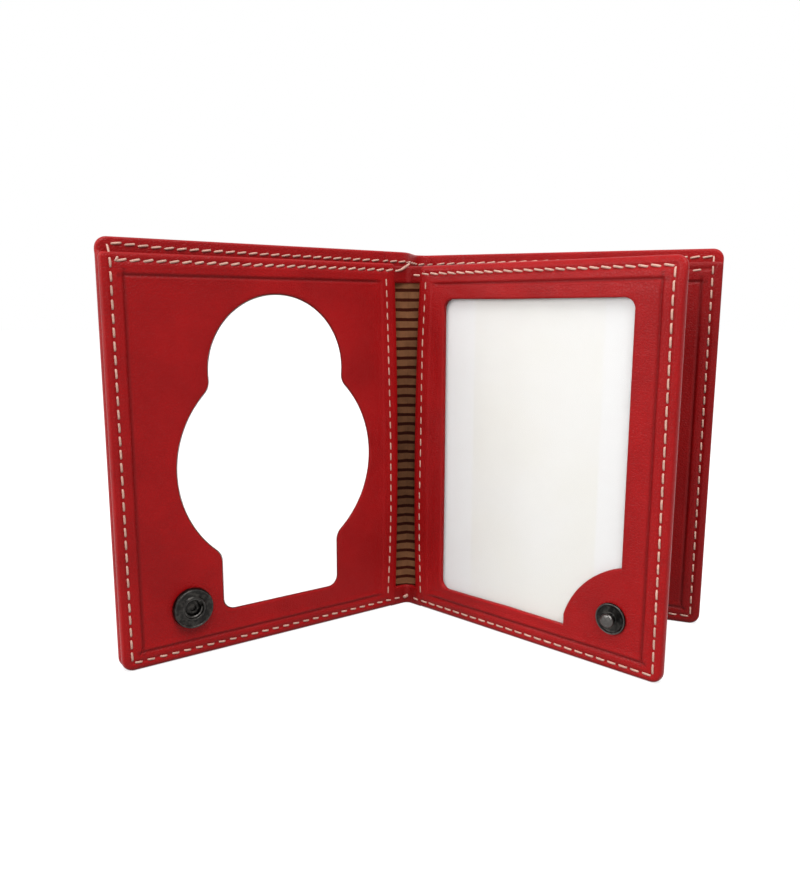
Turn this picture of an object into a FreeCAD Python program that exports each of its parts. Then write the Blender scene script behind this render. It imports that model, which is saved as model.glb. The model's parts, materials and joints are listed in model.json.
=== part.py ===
"""Badge wallet standing open: a badge leaf, a swinging card flap and a rear cover leaf on a leather spine.

Every leaf is drawn flat, with its fold on the Z axis, its front face towards -Y and its layers stacked
towards +Y, and is then turned about the fold to the angle at which the open wallet stands.
"""
import FreeCAD, Part
import Sketcher
import math
import os
import re

SIZES = [
    ("fold_x", -4.47, "fold axis, from the origin"),
    ("fold_y", 15.98, "fold axis, from the origin"),
    ("badge_leaf_angle", 33.0, "badge leaf, forward of the X axis"),
    ("flap_angle", 44.8, "card flap, forward of the X axis"),
    ("spine_angle", 74.9, "outer spine, back from the X axis"),
    ("cover_angle", 24.4, "rear cover leaf, forward of the X axis"),
    ("cover_height", 100.0, "outer cover, foot to top"),
    ("panel_drop", 4.0, "panels, below the cover's top"),
    ("cover_width", 81.1, "fold axis to the badge leaf's far edge"),
    ("flap_short", 4.8, "flap, short of the badge leaf's far edge"),
    ("rear_over", 2.9, "rear leaf, longer than the badge leaf"),
    ("spine_width", 14.4, "between the two bend lines of the spine"),
    ("spine_setback", 3.2, "first bend line, past the fold"),
    ("fold_radius", 1.5, "inside radius of the flap's fold"),
    ("leather", 1.2, "panel and cover leather"),
    ("back_leather", 1.0, "leather of the flap's back"),
    ("lining", 0.3, "lining cloth"),
    ("board", 0.8, "stiffening board behind the badge"),
    ("note_gap", 0.7, "open depth of a note pocket"),
    ("film", 0.3, "clear window film"),
    ("card_thickness", 0.6, "laminated card"),
    ("card_play", 0.3, "free depth beside the card"),
    ("hem_width", 6.0, "turned edge"),
    ("corner_radius", 2.7, "outer corners in plan"),
    ("panel_corner", 1.0, "badge panel and pocket panel top corners"),
    ("edge_round", 0.45, "rounding of a turned edge"),
    ("fit_gap", 0.1, "between a layer and the hem that frames it"),
    ("hinge_gap", 0.3, "between a leaf and a bend line's round"),
    ("panel_setback", 3.2, "fold axis to the badge panel's spine edge"),
    ("flap_setback", 2.6, "fold axis to the flap's spine edge"),
    ("pocket_setback", 3.5, "spine line to the pocket panel's edge"),
    ("top_bridge_height", 4.6, "leather bridge over the fold, at the top"),
    ("bottom_bridge_height", 5.5, "leather bridge over the fold, at the foot"),
    ("lining_inset", 1.0, "fold lining, short of the panel ends"),
    ("crease_inset", 5.0, "creased line, from the panel edge"),
    ("crease_width", 0.5, "creased line"),
    ("crease_depth", 0.2, "creased line"),
    ("seam_inset", 2.7, "seam, from the panel edge"),
    ("window_left", 11.1, "fold axis to the window"),
    ("window_margin", 10.8, "window to the flap's far edge"),
    ("window_bottom", 7.4, "window"),
    ("window_drop", 8.8, "window, below the flap's top"),
    ("window_corner", 2.5, "window corners"),
    ("ear_width", 14.8, "leather left round the stud"),
    ("ear_height", 17.8, "leather left round the stud"),
    ("ear_side", 3.0, "upright side of that leather"),
    ("ear_radius", 22.0, "curve of that leather"),
    ("film_drop", 4.0, "film, below the flap's top edge"),
    ("card_side", 0.85, "card, inside the pocket on either side"),
    ("card_corner", 3.0, "laminated card"),
    ("badge_near", 8.4, "leather between the spine edge and the badge"),
    ("badge_lower", 3.0, "badge disc, below the badge's middle"),
    ("badge_far", 15.5, "leather between the badge and the far edge"),
    ("badge_top", 8.0, "leather above the badge"),
    ("crest_step", 8.5, "crest, narrower than the disc on either side"),
    ("foot_step", 10.5, "foot, narrower than the disc on either side"),
    ("foot_bottom", 10.0, "badge foot"),
    ("foot_corner", 3.0, "badge foot"),
    ("neck_round", 4.0, "curve where crest, disc and foot join"),
    ("badge_gap", 0.2, "badge plate, inside its opening"),
    ("badge_recess", 0.35, "badge plate, below the leather's face"),
    ("snap_inset", 12.9, "snap to the flap's far edge"),
    ("snap_level", 12.8, "snap above the foot"),
    ("stud_radius", 3.75, "stud flange"),
    ("stud_rim", 0.9, "height of the stud flange's rolled rim"),
    ("stud_plate", 0.45, "height of the stud flange's floor"),
    ("stud_neck", 1.35, "stud post below its head"),
    ("stud_head", 1.7, "stud post's head"),
    ("stud_height", 2.6, "stud post above the leather"),
    ("stud_barrel", 1.0, "barrel of the stud's rivet"),
    ("stud_cap", 0.5, "metal over the barrel's end"),
    ("stud_play", 0.5, "socket mouth, round the stud's head"),
    ("spring_play", 0.3, "spring ring, round the stud's head"),
    ("spring_wire", 0.25, "radius of the spring wire"),
    ("spring_slack", 0.15, "room round the spring ring"),
    ("spring_level", 0.98, "spring ring above the leather"),
    ("spring_sweep", 320.0, "degrees of the split ring"),
    ("socket_radius", 5.0, "socket ring"),
    ("socket_height", 1.8, "socket ring above the leather"),
    ("socket_plate", 0.3, "socket's base plate"),
    ("socket_lip", 0.55, "depth of the socket's mouth lip"),
    ("socket_rim", 0.7, "width of the socket's raised rims"),
    ("socket_dish", 0.3, "dish between the rims"),
    ("rivet_barrel", 1.4, "barrel of the socket's rivet"),
    ("rivet_bore", 0.9, "bore of that barrel"),
    ("rivet_roll", 0.45, "rolled end, past the barrel"),
    ("rivet_flange", 3.8, "flange of a rivet, behind the leather"),
    ("rivet_plate", 0.3, "thickness of a rivet's flange"),
]
NAMES = {name for name, _, _ in SIZES}

# Sizes that follow from the sheet's own
DERIVED = {
    "panel_height": "cover_height - panel_drop",
    "flap_width": "cover_width - flap_short",
    "rear_width": "cover_width + rear_over",
    "window_right": "flap_width - window_margin",
    "window_top": "panel_height - window_drop",
    "card_left": "flap_setback + hem_width + card_side",
    "card_right": "flap_width - hem_width - card_side",
    "badge_radius": "(cover_width - panel_setback - badge_near - badge_far) / 2",
    "badge_along": "panel_setback + badge_near + badge_radius",
    "badge_level": "(foot_bottom + panel_height - badge_top) / 2 - badge_lower",
    "crest_radius": "badge_radius - crest_step",
    "crest_level": "panel_height - badge_top - crest_radius",
    "foot_half": "badge_radius - foot_step",
    "snap_along": "flap_width - snap_inset",
}

doc = FreeCAD.newDocument("badge_wallet")
sheet = doc.addObject("Spreadsheet::Sheet", "sizes")
for row, (name, number, note) in enumerate(SIZES, start=1):
    sheet.set("A%d" % row, note)
    sheet.set("B%d" % row, str(number))
    sheet.setAlias("B%d" % row, name)
doc.recompute()


def qualified(text):
    """Write each size's name in full, as the sheet's own cell or as what it follows from."""
    def cell(match):
        word = match.group(0)
        if word in DERIVED:
            return "(" + qualified(DERIVED[word]) + ")"
        return "sizes." + word if word in NAMES else word

    return re.sub(r"[a-z_]+", cell, text)


def number_of(text):
    """Work out what a size expression comes to."""
    result = sheet.evalExpression(qualified(text))
    return float(getattr(result, "Value", result))


def bind(target, prop, text):
    """Tie a property to the sheet."""
    target.setExpression(prop, qualified(text))


# Levels of the layers, from the fold axis towards the back
PANEL_FACE = "fold_radius"
PANEL_BACK = "fold_radius + leather"
BADGE_LINING_FACE = PANEL_BACK + " + board"
BADGE_POCKET_FACE = BADGE_LINING_FACE + " + lining"
COVER_LINING_FACE = BADGE_POCKET_FACE + " + note_gap"
COVER_FACE = COVER_LINING_FACE + " + lining"
COVER_MIDDLE = COVER_FACE + " + leather / 2"
CARD_POCKET = "film + card_thickness + card_play"
FLAP_BACK_FACE = PANEL_BACK + " + " + CARD_POCKET
REAR_COVER_FACE = "-leather / 2"
REAR_LINING_FACE = REAR_COVER_FACE + " - lining"
REAR_POCKET_FACE = REAR_LINING_FACE + " - note_gap"
POCKET_LINING_FACE = REAR_POCKET_FACE + " - lining"
POCKET_PANEL_FACE = POCKET_LINING_FACE + " - leather"

# Bend lines of the spine, in plan
TURN_LEFT = "badge_leaf_angle * 1 deg"
TURN_SPINE = "spine_angle * 1 deg"
FIRST_X = "fold_x + spine_setback * cos(%s) - (%s) * sin(%s)" % (TURN_LEFT, COVER_MIDDLE, TURN_LEFT)
FIRST_Y = "fold_y + spine_setback * sin(%s) + (%s) * cos(%s)" % (TURN_LEFT, COVER_MIDDLE, TURN_LEFT)
SECOND_X = FIRST_X + " + spine_width * cos(%s)" % TURN_SPINE
SECOND_Y = FIRST_Y + " + spine_width * sin(%s)" % TURN_SPINE

# Where each group of flat pieces stands: plan position and turn about Z
BADGE_LEAF = ("fold_x", "fold_y", "badge_leaf_angle")
FLAP = ("fold_x", "fold_y", "-flap_angle")
SPINE = (FIRST_X, FIRST_Y, "spine_angle")
REAR_LEAF = (SECOND_X, SECOND_Y, "-cover_angle")
FOLD = ("fold_x", "fold_y", "0")


class Piece:
    """One piece of the wallet as a body of features, each tied to the sheet."""

    def __init__(self, label, stand):
        self.label = label
        self.body = doc.addObject("PartDesign::Body", label)
        self.body.Label = label
        self.last = None
        place_x, place_y, turn = stand
        axis = FreeCAD.Vector(0, 0, 1)
        self.body.Placement = FreeCAD.Placement(FreeCAD.Vector(), FreeCAD.Rotation(axis, 1))
        bind(self.body, "Placement.Base.x", place_x)
        bind(self.body, "Placement.Base.y", place_y)
        bind(self.body, "Placement.Rotation.Angle", "(%s) * 1 deg" % turn)

    def sketch(self, plane, shift):
        """Start a sketch on one of the body's planes, moved along the plane's normal."""
        sketch = self.body.newObject("Sketcher::SketchObject", self.label + "_sketch")
        base = [f for f in self.body.Origin.OriginFeatures if f.Role == plane][0]
        sketch.AttachmentSupport = (base, [""])
        sketch.MapMode = "FlatFace"
        bind(sketch, "AttachmentOffset.Base.z", shift)
        return sketch

    def face_sketch(self, level):
        """Start a sketch seen from the front, at a level behind the fold axis."""
        return self.sketch("XZ_Plane", "-(%s)" % level)

    def grow(self, sketch, depth, upward=False):
        """Pad a sketch towards the back, or upward for a plan sketch."""
        pad = self.body.newObject("PartDesign::Pad", self.label + "_pad")
        pad.Profile = sketch
        bind(pad, "Length", depth)
        pad.Reversed = not upward
        self.last = pad

    def cut(self, sketch, depth):
        """Pocket a front sketch into the leather."""
        pocket = self.body.newObject("PartDesign::Pocket", self.label + "_pocket")
        pocket.Profile = sketch
        bind(pocket, "Length", depth)
        self.last = pocket

    def turn(self, sketch, sweep="360"):
        """Revolve a plan sketch about its own first construction line."""
        revolution = self.body.newObject("PartDesign::Revolution", self.label + "_turn")
        revolution.Profile = sketch
        revolution.ReferenceAxis = (sketch, ["Axis0"])
        bind(revolution, "Angle", sweep + " * 1 deg")
        self.last = revolution

    def round_edges(self, radius, wanted):
        """Fillet the edges of the newest feature that a test picks out."""
        doc.recompute()
        edges = self.last.Shape.Edges
        chosen = ["Edge%d" % (i + 1) for i, edge in enumerate(edges) if wanted(edge)]
        if not chosen:
            raise RuntimeError("no edge to round on " + self.label)
        fillet = self.body.newObject("PartDesign::Fillet", self.label + "_round")
        fillet.Base = (self.last, chosen)
        bind(fillet, "Radius", radius)
        self.last = fillet

    def round_corners(self, radius, spots):
        """Fillet the edges that run front to back through the named corners."""
        where = [(number_of(x), number_of(z)) for x, z in spots]

        def wanted(edge):
            box = edge.BoundBox
            upright = box.YLength > 0.05 and box.XLength < 1e-4 and box.ZLength < 1e-4
            near = any(math.hypot(box.XMin - x, box.ZMin - z) < 1e-3 for x, z in where)
            return upright and near

        self.round_edges(radius, wanted)

    def round_joins(self, radius):
        """Fillet the edges where the badge's disc meets its crest and its foot."""
        low = number_of("foot_bottom + foot_corner")
        high = number_of("crest_level")
        middle = number_of("badge_level")
        reach = number_of("badge_radius")
        centre = -number_of("badge_along")

        def wanted(edge):
            box = edge.BoundBox
            upright = box.YLength > 0.05 and box.XLength < 1e-4 and box.ZLength < 1e-4
            within = low < box.ZMin < high - 0.01 and abs(box.XMin - centre) < reach - 0.01
            return upright and within and abs(box.ZMin - middle) > 0.01

        self.round_edges(radius, wanted)

    def round_rim(self, radius, level):
        """Fillet the outer outline of the face at one level."""
        doc.recompute()
        target = number_of(level)
        flat = [f for f in self.last.Shape.Faces
                if f.BoundBox.YLength < 1e-4 and abs(f.BoundBox.YMin - target) < 1e-4]
        rim = max(flat, key=lambda f: f.Area).OuterWire.Edges
        self.round_edges(radius, lambda edge: any(edge.isSame(r) for r in rim))


def pin_point(sketch, edge, end, across, up):
    """Hold one end of a sketch edge at a place given by the sheet."""
    for kind, axis, text in (("DistanceX", -2, across), ("DistanceY", -1, up)):
        if text == "0":
            sketch.addConstraint(Sketcher.Constraint("PointOnObject", edge, end, axis))
        else:
            index = sketch.addConstraint(Sketcher.Constraint(kind, -1, 1, edge, end, number_of(text)))
            bind(sketch, "Constraints[%d]" % index, text)


def draw_axis(sketch, across, start, end):
    """Draw the construction line about which a plan profile turns."""
    x = number_of(across)
    low = FreeCAD.Vector(x, number_of(start), 0)
    high = FreeCAD.Vector(x, number_of(end), 0)
    line = sketch.addGeometry(Part.LineSegment(low, high), True)
    pin_point(sketch, line, 1, across, start)
    pin_point(sketch, line, 2, across, end)


def draw_loop(sketch, corners, arcs=()):
    """Draw a closed outline through corners.

    arcs maps a corner's index to (radius, side): the edge that leaves it is then an arc whose centre lies on
    that side of the way, 1 for the left and -1 for the right.
    """
    arcs = dict(arcs)
    spots = [FreeCAD.Vector(number_of(x), number_of(z), 0) for x, z in corners]
    edges = []
    for i, here in enumerate(spots):
        there = spots[(i + 1) % len(spots)]
        if i not in arcs:
            edges.append((sketch.addGeometry(Part.LineSegment(here, there), False), 1, 2))
            continue
        radius, side = arcs[i]
        reach = number_of(radius)
        way = there - here
        across = FreeCAD.Vector(-way.y, way.x, 0).normalize()
        lift = math.sqrt(max(reach ** 2 - way.Length ** 2 / 4, 0))
        centre = here + way * 0.5 + across * (side * lift)
        first, last = (here, there) if side > 0 else (there, here)
        start = math.atan2(first.y - centre.y, first.x - centre.x)
        stop = math.atan2(last.y - centre.y, last.x - centre.x)
        circle = Part.Circle(centre, FreeCAD.Vector(0, 0, 1), reach)
        arc = sketch.addGeometry(Part.ArcOfCircle(circle, start, stop), False)
        edges.append((arc, 1, 2) if side > 0 else (arc, 2, 1))
    for i, (edge, tail, head) in enumerate(edges):
        following, its_tail, _ = edges[(i + 1) % len(edges)]
        sketch.addConstraint(Sketcher.Constraint("Coincident", edge, head, following, its_tail))
    for i, (edge, tail, _) in enumerate(edges):
        pin_point(sketch, edge, tail, corners[i][0], corners[i][1])
        if i in arcs:
            index = sketch.addConstraint(Sketcher.Constraint("Radius", edge, number_of(arcs[i][0])))
            bind(sketch, "Constraints[%d]" % index, arcs[i][0])


def draw_circle(sketch, across, up, radius):
    """Draw a circle whose centre and radius come from the sheet."""
    centre = FreeCAD.Vector(number_of(across), number_of(up), 0)
    ring = sketch.addGeometry(Part.Circle(centre, FreeCAD.Vector(0, 0, 1), number_of(radius)), False)
    pin_point(sketch, ring, 3, across, up)
    index = sketch.addConstraint(Sketcher.Constraint("Radius", ring, number_of(radius)))
    bind(sketch, "Constraints[%d]" % index, radius)


def block(x_low, x_high, z_low, z_high):
    """Name the four corners of an upright rectangle."""
    return [(x_low, z_low), (x_high, z_low), (x_high, z_high), (x_low, z_high)]


def crease_band(near, far, low, high, sign):
    """Outline a creased line that runs out along the top, down the far side and back along the foot."""
    inner = far + (" - " if sign > 0 else " + ") + "crease_width"
    return [
        (near, low), (far, low), (far, high), (near, high),
        (near, high + " - crease_width"), (inner, high + " - crease_width"),
        (inner, low + " + crease_width"), (near, low + " + crease_width"),
    ]


def snap_profile(sketch, sign, points):
    """Draw a snap part's half section: radius from the snap's axis and height above the leather's face."""
    middle = "snap_along" if sign > 0 else "-snap_along"
    draw_axis(sketch, middle, PANEL_FACE + " - 4", PANEL_FACE + " + 4")
    draw_loop(sketch, [(middle + " + " + r, "%s - (%s)" % (PANEL_FACE, h)) for r, h in points])


# Badge leaf: the panel with its badge opening, and what lies behind it
LEFT_INNER = "-cover_width + hem_width"
SPINE_INNER = "-panel_setback - hem_width"

badge_panel = Piece("badge_panel", BADGE_LEAF)
outline = badge_panel.face_sketch(PANEL_FACE)
draw_loop(outline, block("-cover_width", "-panel_setback", "0", "panel_height"))
draw_circle(outline, "-snap_along", "snap_level", "rivet_barrel + fit_gap")
badge_panel.grow(outline, "leather")
badge_panel.round_corners("corner_radius", [("-cover_width", "0")])
badge_panel.round_corners("panel_corner", [("-cover_width", "panel_height")])
badge_panel.round_rim("edge_round", PANEL_FACE)
hem = badge_panel.face_sketch(PANEL_BACK)
draw_loop(hem, [
    ("-cover_width + corner_radius", "0"), ("-panel_setback", "0"), ("-panel_setback", "panel_height"),
    ("-cover_width + panel_corner", "panel_height"), ("-cover_width", "panel_height - panel_corner"),
    ("-cover_width", "corner_radius"),
], {3: ("panel_corner", 1), 5: ("corner_radius", 1)})
draw_loop(hem, block(LEFT_INNER, SPINE_INNER, "hem_width", "panel_height - hem_width"))
badge_panel.grow(hem, "board + lining")
disc = badge_panel.face_sketch(PANEL_FACE)
draw_circle(disc, "-badge_along", "badge_level", "badge_radius")
badge_panel.cut(disc, "leather")
crest = badge_panel.face_sketch(PANEL_FACE)
draw_circle(crest, "-badge_along", "crest_level", "crest_radius")
badge_panel.cut(crest, "leather")
foot = badge_panel.face_sketch(PANEL_FACE)
draw_loop(foot, block("-badge_along - foot_half", "-badge_along + foot_half", "foot_bottom", "badge_level"))
badge_panel.cut(foot, "leather")
badge_panel.round_corners("foot_corner", [("-badge_along - foot_half", "foot_bottom"),
                                          ("-badge_along + foot_half", "foot_bottom")])
badge_panel.round_joins("neck_round")
crease = badge_panel.face_sketch(PANEL_FACE)
draw_loop(crease, crease_band("-panel_setback - seam_inset", "-cover_width + crease_inset", "crease_inset",
                              "panel_height - crease_inset", -1))
badge_panel.cut(crease, "crease_depth")

badge_backing = Piece("badge_backing", BADGE_LEAF)
outline = badge_backing.face_sketch(PANEL_BACK)
BACKING = block(LEFT_INNER + " + fit_gap", SPINE_INNER + " - fit_gap",
                "hem_width + fit_gap", "panel_height - hem_width - fit_gap")
draw_loop(outline, BACKING)
draw_circle(outline, "-snap_along", "snap_level", "rivet_flange + fit_gap")
badge_backing.grow(outline, "board")

badge_lining = Piece("badge_lining", BADGE_LEAF)
outline = badge_lining.face_sketch(BADGE_LINING_FACE)
draw_loop(outline, BACKING)
badge_lining.grow(outline, "lining")

badge_blank = Piece("badge_blank", BADGE_LEAF)
BLANK_FACE = PANEL_FACE + " + badge_recess"
outline = badge_blank.face_sketch(BLANK_FACE)
draw_circle(outline, "-badge_along", "badge_level", "badge_radius - badge_gap")
badge_blank.grow(outline, "leather - badge_recess")
outline = badge_blank.face_sketch(BLANK_FACE)
draw_circle(outline, "-badge_along", "crest_level", "crest_radius - badge_gap")
badge_blank.grow(outline, "leather - badge_recess")
outline = badge_blank.face_sketch(BLANK_FACE)
draw_loop(outline, block("-badge_along - foot_half + badge_gap", "-badge_along + foot_half - badge_gap",
                         "foot_bottom + badge_gap", "badge_level"))
badge_blank.grow(outline, "leather - badge_recess")
badge_blank.round_corners("foot_corner - badge_gap", [
    ("-badge_along - foot_half + badge_gap", "foot_bottom + badge_gap"),
    ("-badge_along + foot_half - badge_gap", "foot_bottom + badge_gap")])
badge_blank.round_joins("neck_round + badge_gap")

# Snap socket on the badge panel, with its split spring ring and its rivet
CAVITY = "stud_head + spring_play + spring_wire * 2 + spring_slack"
snap_socket = Piece("snap_socket", BADGE_LEAF)
outline = snap_socket.sketch("XY_Plane", "snap_level")
snap_profile(outline, -1, [
    ("rivet_barrel + fit_gap", "0"),
    ("socket_radius", "0"),
    ("socket_radius", "socket_height - socket_dish"),
    ("socket_radius - socket_dish", "socket_height"),
    ("socket_radius - socket_rim", "socket_height"),
    ("socket_radius - socket_rim - socket_dish", "socket_height - socket_dish"),
    ("stud_head + stud_play + socket_rim", "socket_height - socket_dish"),
    ("stud_head + stud_play + socket_rim / 2", "socket_height"),
    ("stud_head + stud_play", "socket_height - socket_dish / 2"),
    ("stud_head + stud_play", "socket_height - socket_lip"),
    (CAVITY, "socket_height - socket_lip"),
    (CAVITY, "socket_plate"),
    ("rivet_barrel + fit_gap", "socket_plate"),
])
snap_socket.turn(outline)

snap_spring = Piece("snap_spring", BADGE_LEAF)
outline = snap_spring.sketch("XY_Plane", "snap_level")
WIRE = "stud_head + spring_play + spring_wire"
EIGHTHS = [(1.0, 0.4), (0.4, 1.0), (-0.4, 1.0), (-1.0, 0.4), (-1.0, -0.4), (-0.4, -1.0), (0.4, -1.0), (1.0, -0.4)]
snap_profile(outline, -1, [("%s + spring_wire * %s" % (WIRE, r), "spring_level + spring_wire * %s" % h)
                           for r, h in EIGHTHS])
snap_spring.turn(outline, "spring_sweep")

socket_rivet = Piece("socket_rivet", BADGE_LEAF)
outline = socket_rivet.sketch("XY_Plane", "snap_level")
snap_profile(outline, -1, [
    ("rivet_bore", "-leather - rivet_plate"),
    ("rivet_flange", "-leather - rivet_plate"),
    ("rivet_flange", "-leather"),
    ("rivet_barrel", "-leather"),
    ("rivet_barrel", "socket_plate"),
    ("rivet_barrel + rivet_roll", "socket_plate"),
    ("rivet_barrel + rivet_roll", "socket_plate + rivet_plate / 2"),
    ("rivet_barrel", "socket_plate + rivet_plate"),
    ("rivet_bore", "socket_plate + rivet_plate"),
])
socket_rivet.turn(outline)

# Left half of the outer cover, open at the top behind the badge panel
LEFT_END = "spine_setback - leather / 2 - hinge_gap"
cover_left = Piece("cover_left", BADGE_LEAF)
outline = cover_left.face_sketch(COVER_FACE)
draw_loop(outline, block("-cover_width", LEFT_END, "0", "cover_height"))
cover_left.grow(outline, "leather")
cover_left.round_corners("corner_radius", [("-cover_width", "0"), ("-cover_width", "cover_height")])
cover_left.round_rim("edge_round", COVER_FACE + " + leather")
hem = cover_left.face_sketch(BADGE_POCKET_FACE)
draw_loop(hem, [
    ("-cover_width + corner_radius", "0"), ("-panel_setback", "0"), ("-panel_setback", "hem_width"),
    (LEFT_INNER, "hem_width"), (LEFT_INNER, "panel_height"), ("-cover_width", "panel_height"),
    ("-cover_width", "corner_radius"),
], {6: ("corner_radius", 1)})
cover_left.grow(hem, "note_gap + lining")
hem = cover_left.face_sketch(COVER_LINING_FACE)
draw_loop(hem, [
    ("-cover_width", "cover_height - hem_width"), (LEFT_END, "cover_height - hem_width"),
    (LEFT_END, "cover_height"), ("-cover_width + corner_radius", "cover_height"),
    ("-cover_width", "cover_height - corner_radius"),
], {3: ("corner_radius", 1)})
cover_left.grow(hem, "lining")

cover_left_lining = Piece("cover_left_lining", BADGE_LEAF)
outline = cover_left_lining.face_sketch(COVER_LINING_FACE)
draw_loop(outline, block(LEFT_INNER + " + fit_gap", LEFT_END, "hem_width + fit_gap",
                         "cover_height - hem_width - fit_gap"))
cover_left_lining.grow(outline, "lining")


# Fold between the badge leaf and the flap: leather bridges at both ends over a striped lining
def fold_strip(label, inside, thickness, low, high):
    """Bend a strip round the fold axis, with a flat tail along either leaf."""
    left = "badge_leaf_angle * 1 deg"
    right = "flap_angle * 1 deg"
    outside = inside + " + " + thickness
    left_tail = "panel_setback - fit_gap / 2"
    right_tail = "flap_setback - fit_gap / 2"

    def on_left(along, depth):
        x = "-(%s) * cos(%s) - (%s) * sin(%s)" % (along, left, depth, left)
        return (x, "-(%s) * sin(%s) + (%s) * cos(%s)" % (along, left, depth, left))

    def on_right(along, depth):
        x = "(%s) * cos(%s) + (%s) * sin(%s)" % (along, right, depth, right)
        return (x, "-(%s) * sin(%s) + (%s) * cos(%s)" % (along, right, depth, right))

    strip = Piece(label, FOLD)
    plan = strip.sketch("XY_Plane", low)
    draw_loop(plan, [
        on_left(left_tail, inside), on_left("0", inside), on_right("0", inside), on_right(right_tail, inside),
        on_right(right_tail, outside), on_right("0", outside), on_left("0", outside), on_left(left_tail, outside),
    ], {1: (inside, -1), 5: (outside, 1)})
    strip.grow(plan, "(%s) - (%s)" % (high, low), upward=True)
    return strip


top_bridge = fold_strip("top_bridge", PANEL_FACE, "leather", "panel_height - top_bridge_height", "panel_height")
bottom_bridge = fold_strip("bottom_bridge", PANEL_FACE, "leather", "0", "bottom_bridge_height")
fold_lining = fold_strip("fold_lining", PANEL_BACK, "lining", "lining_inset", "panel_height - lining_inset")

# Card flap: framed window, clear film, card and back
FLAP_INNER = "flap_setback + hem_width"
FLAP_OUTER = "flap_width - hem_width"

flap_front = Piece("flap_front", FLAP)
outline = flap_front.face_sketch(PANEL_FACE)
draw_loop(outline, block("flap_setback", "flap_width", "0", "panel_height"))
draw_circle(outline, "snap_along", "snap_level", "stud_barrel + fit_gap")
draw_loop(outline, [
    ("window_left", "window_bottom"), ("window_right - ear_width", "window_bottom"),
    ("window_right - ear_width", "window_bottom + ear_side"), ("window_right", "window_bottom + ear_height"),
    ("window_right", "window_top"), ("window_left", "window_top"),
], {2: ("ear_radius", -1)})
flap_front.grow(outline, "leather")
flap_front.round_corners("corner_radius", [("flap_width", "0"), ("flap_width", "panel_height")])
flap_front.round_rim("edge_round", PANEL_FACE)
flap_front.round_corners("window_corner", [("window_left", "window_bottom"), ("window_right", "window_top"),
                                           ("window_left", "window_top")])
hem = flap_front.face_sketch(PANEL_BACK)
draw_loop(hem, [
    ("flap_setback", "0"), ("flap_width - corner_radius", "0"), ("flap_width", "corner_radius"),
    ("flap_width", "panel_height - corner_radius"), ("flap_width - corner_radius", "panel_height"),
    (FLAP_OUTER, "panel_height"), (FLAP_OUTER, "hem_width"), (FLAP_INNER, "hem_width"),
    (FLAP_INNER, "panel_height"), ("flap_setback", "panel_height"),
], {1: ("corner_radius", 1), 3: ("corner_radius", 1)})
flap_front.grow(hem, CARD_POCKET)
crease = flap_front.face_sketch(PANEL_FACE)
draw_loop(crease, crease_band("flap_setback + seam_inset", "flap_width - crease_inset", "crease_inset",
                              "panel_height - crease_inset", 1))
flap_front.cut(crease, "crease_depth")

window_film = Piece("window_film", FLAP)
outline = window_film.face_sketch(PANEL_BACK)
draw_loop(outline, block(FLAP_INNER + " + fit_gap", FLAP_OUTER + " - fit_gap", "hem_width + fit_gap",
                         "panel_height - film_drop"))
draw_circle(outline, "snap_along", "snap_level", "rivet_flange + fit_gap")
window_film.grow(outline, "film")

id_card = Piece("id_card", FLAP)
outline = id_card.face_sketch(PANEL_BACK + " + film + card_play / 2")
CARD = block("card_left", "card_right", "hem_width + fit_gap", "panel_height - film_drop")
draw_loop(outline, CARD)
id_card.grow(outline, "card_thickness")
id_card.round_corners("card_corner", CARD)

flap_back = Piece("flap_back", FLAP)
outline = flap_back.face_sketch(FLAP_BACK_FACE)
draw_loop(outline, block("flap_setback", "flap_width", "0", "panel_height"))
flap_back.grow(outline, "back_leather")
flap_back.round_corners("corner_radius", [("flap_width", "0"), ("flap_width", "panel_height")])
flap_back.round_rim("edge_round", FLAP_BACK_FACE + " + back_leather")

# Snap stud on the flap, with its rivet
snap_stud = Piece("snap_stud", FLAP)
outline = snap_stud.sketch("XY_Plane", "snap_level")
snap_profile(outline, 1, [
    ("stud_barrel + fit_gap", "0"),
    ("stud_radius", "0"),
    ("stud_radius", "stud_rim * 0.7"),
    ("stud_radius - stud_rim * 0.3", "stud_rim"),
    ("stud_radius - stud_rim * 0.7", "stud_rim * 0.9"),
    ("stud_radius - stud_rim", "stud_plate"),
    ("stud_neck", "stud_plate"),
    ("stud_neck", "stud_height - stud_head * 0.7"),
    ("stud_head", "stud_height - stud_head * 0.45"),
    ("stud_head", "stud_height - stud_head * 0.25"),
    ("stud_head * 0.7", "stud_height - stud_head * 0.06"),
    ("0", "stud_height"),
    ("0", "stud_height - stud_cap"),
    ("stud_barrel + fit_gap", "stud_height - stud_cap"),
])
snap_stud.turn(outline)

stud_rivet = Piece("stud_rivet", FLAP)
outline = stud_rivet.sketch("XY_Plane", "snap_level")
snap_profile(outline, 1, [
    ("0", "-leather - rivet_plate"),
    ("rivet_flange", "-leather - rivet_plate"),
    ("rivet_flange", "-leather"),
    ("stud_barrel", "-leather"),
    ("stud_barrel", "stud_height - stud_cap - fit_gap"),
    ("0", "stud_height - stud_cap - fit_gap"),
])
stud_rivet.turn(outline)


# Outer spine, with a round along each of its two bend lines
cover_spine = Piece("cover_spine", SPINE)
plan = cover_spine.sketch("XY_Plane", "0")
draw_loop(plan, [
    ("0", "-leather / 2"), ("spine_width", "-leather / 2"), ("spine_width + leather / 2", "0"),
    ("spine_width", "leather / 2"), ("0", "leather / 2"), ("-leather / 2", "0"),
], {1: ("leather / 2", 1), 2: ("leather / 2", 1), 4: ("leather / 2", 1), 5: ("leather / 2", 1)})
cover_spine.grow(plan, "cover_height", upward=True)

spine_lining = Piece("spine_lining", SPINE)
plan = spine_lining.sketch("XY_Plane", "hem_width")
draw_loop(plan, block("leather", "spine_width - leather", "-leather / 2 - lining", "-leather / 2"))
spine_lining.grow(plan, "cover_height - hem_width * 2", upward=True)

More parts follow.
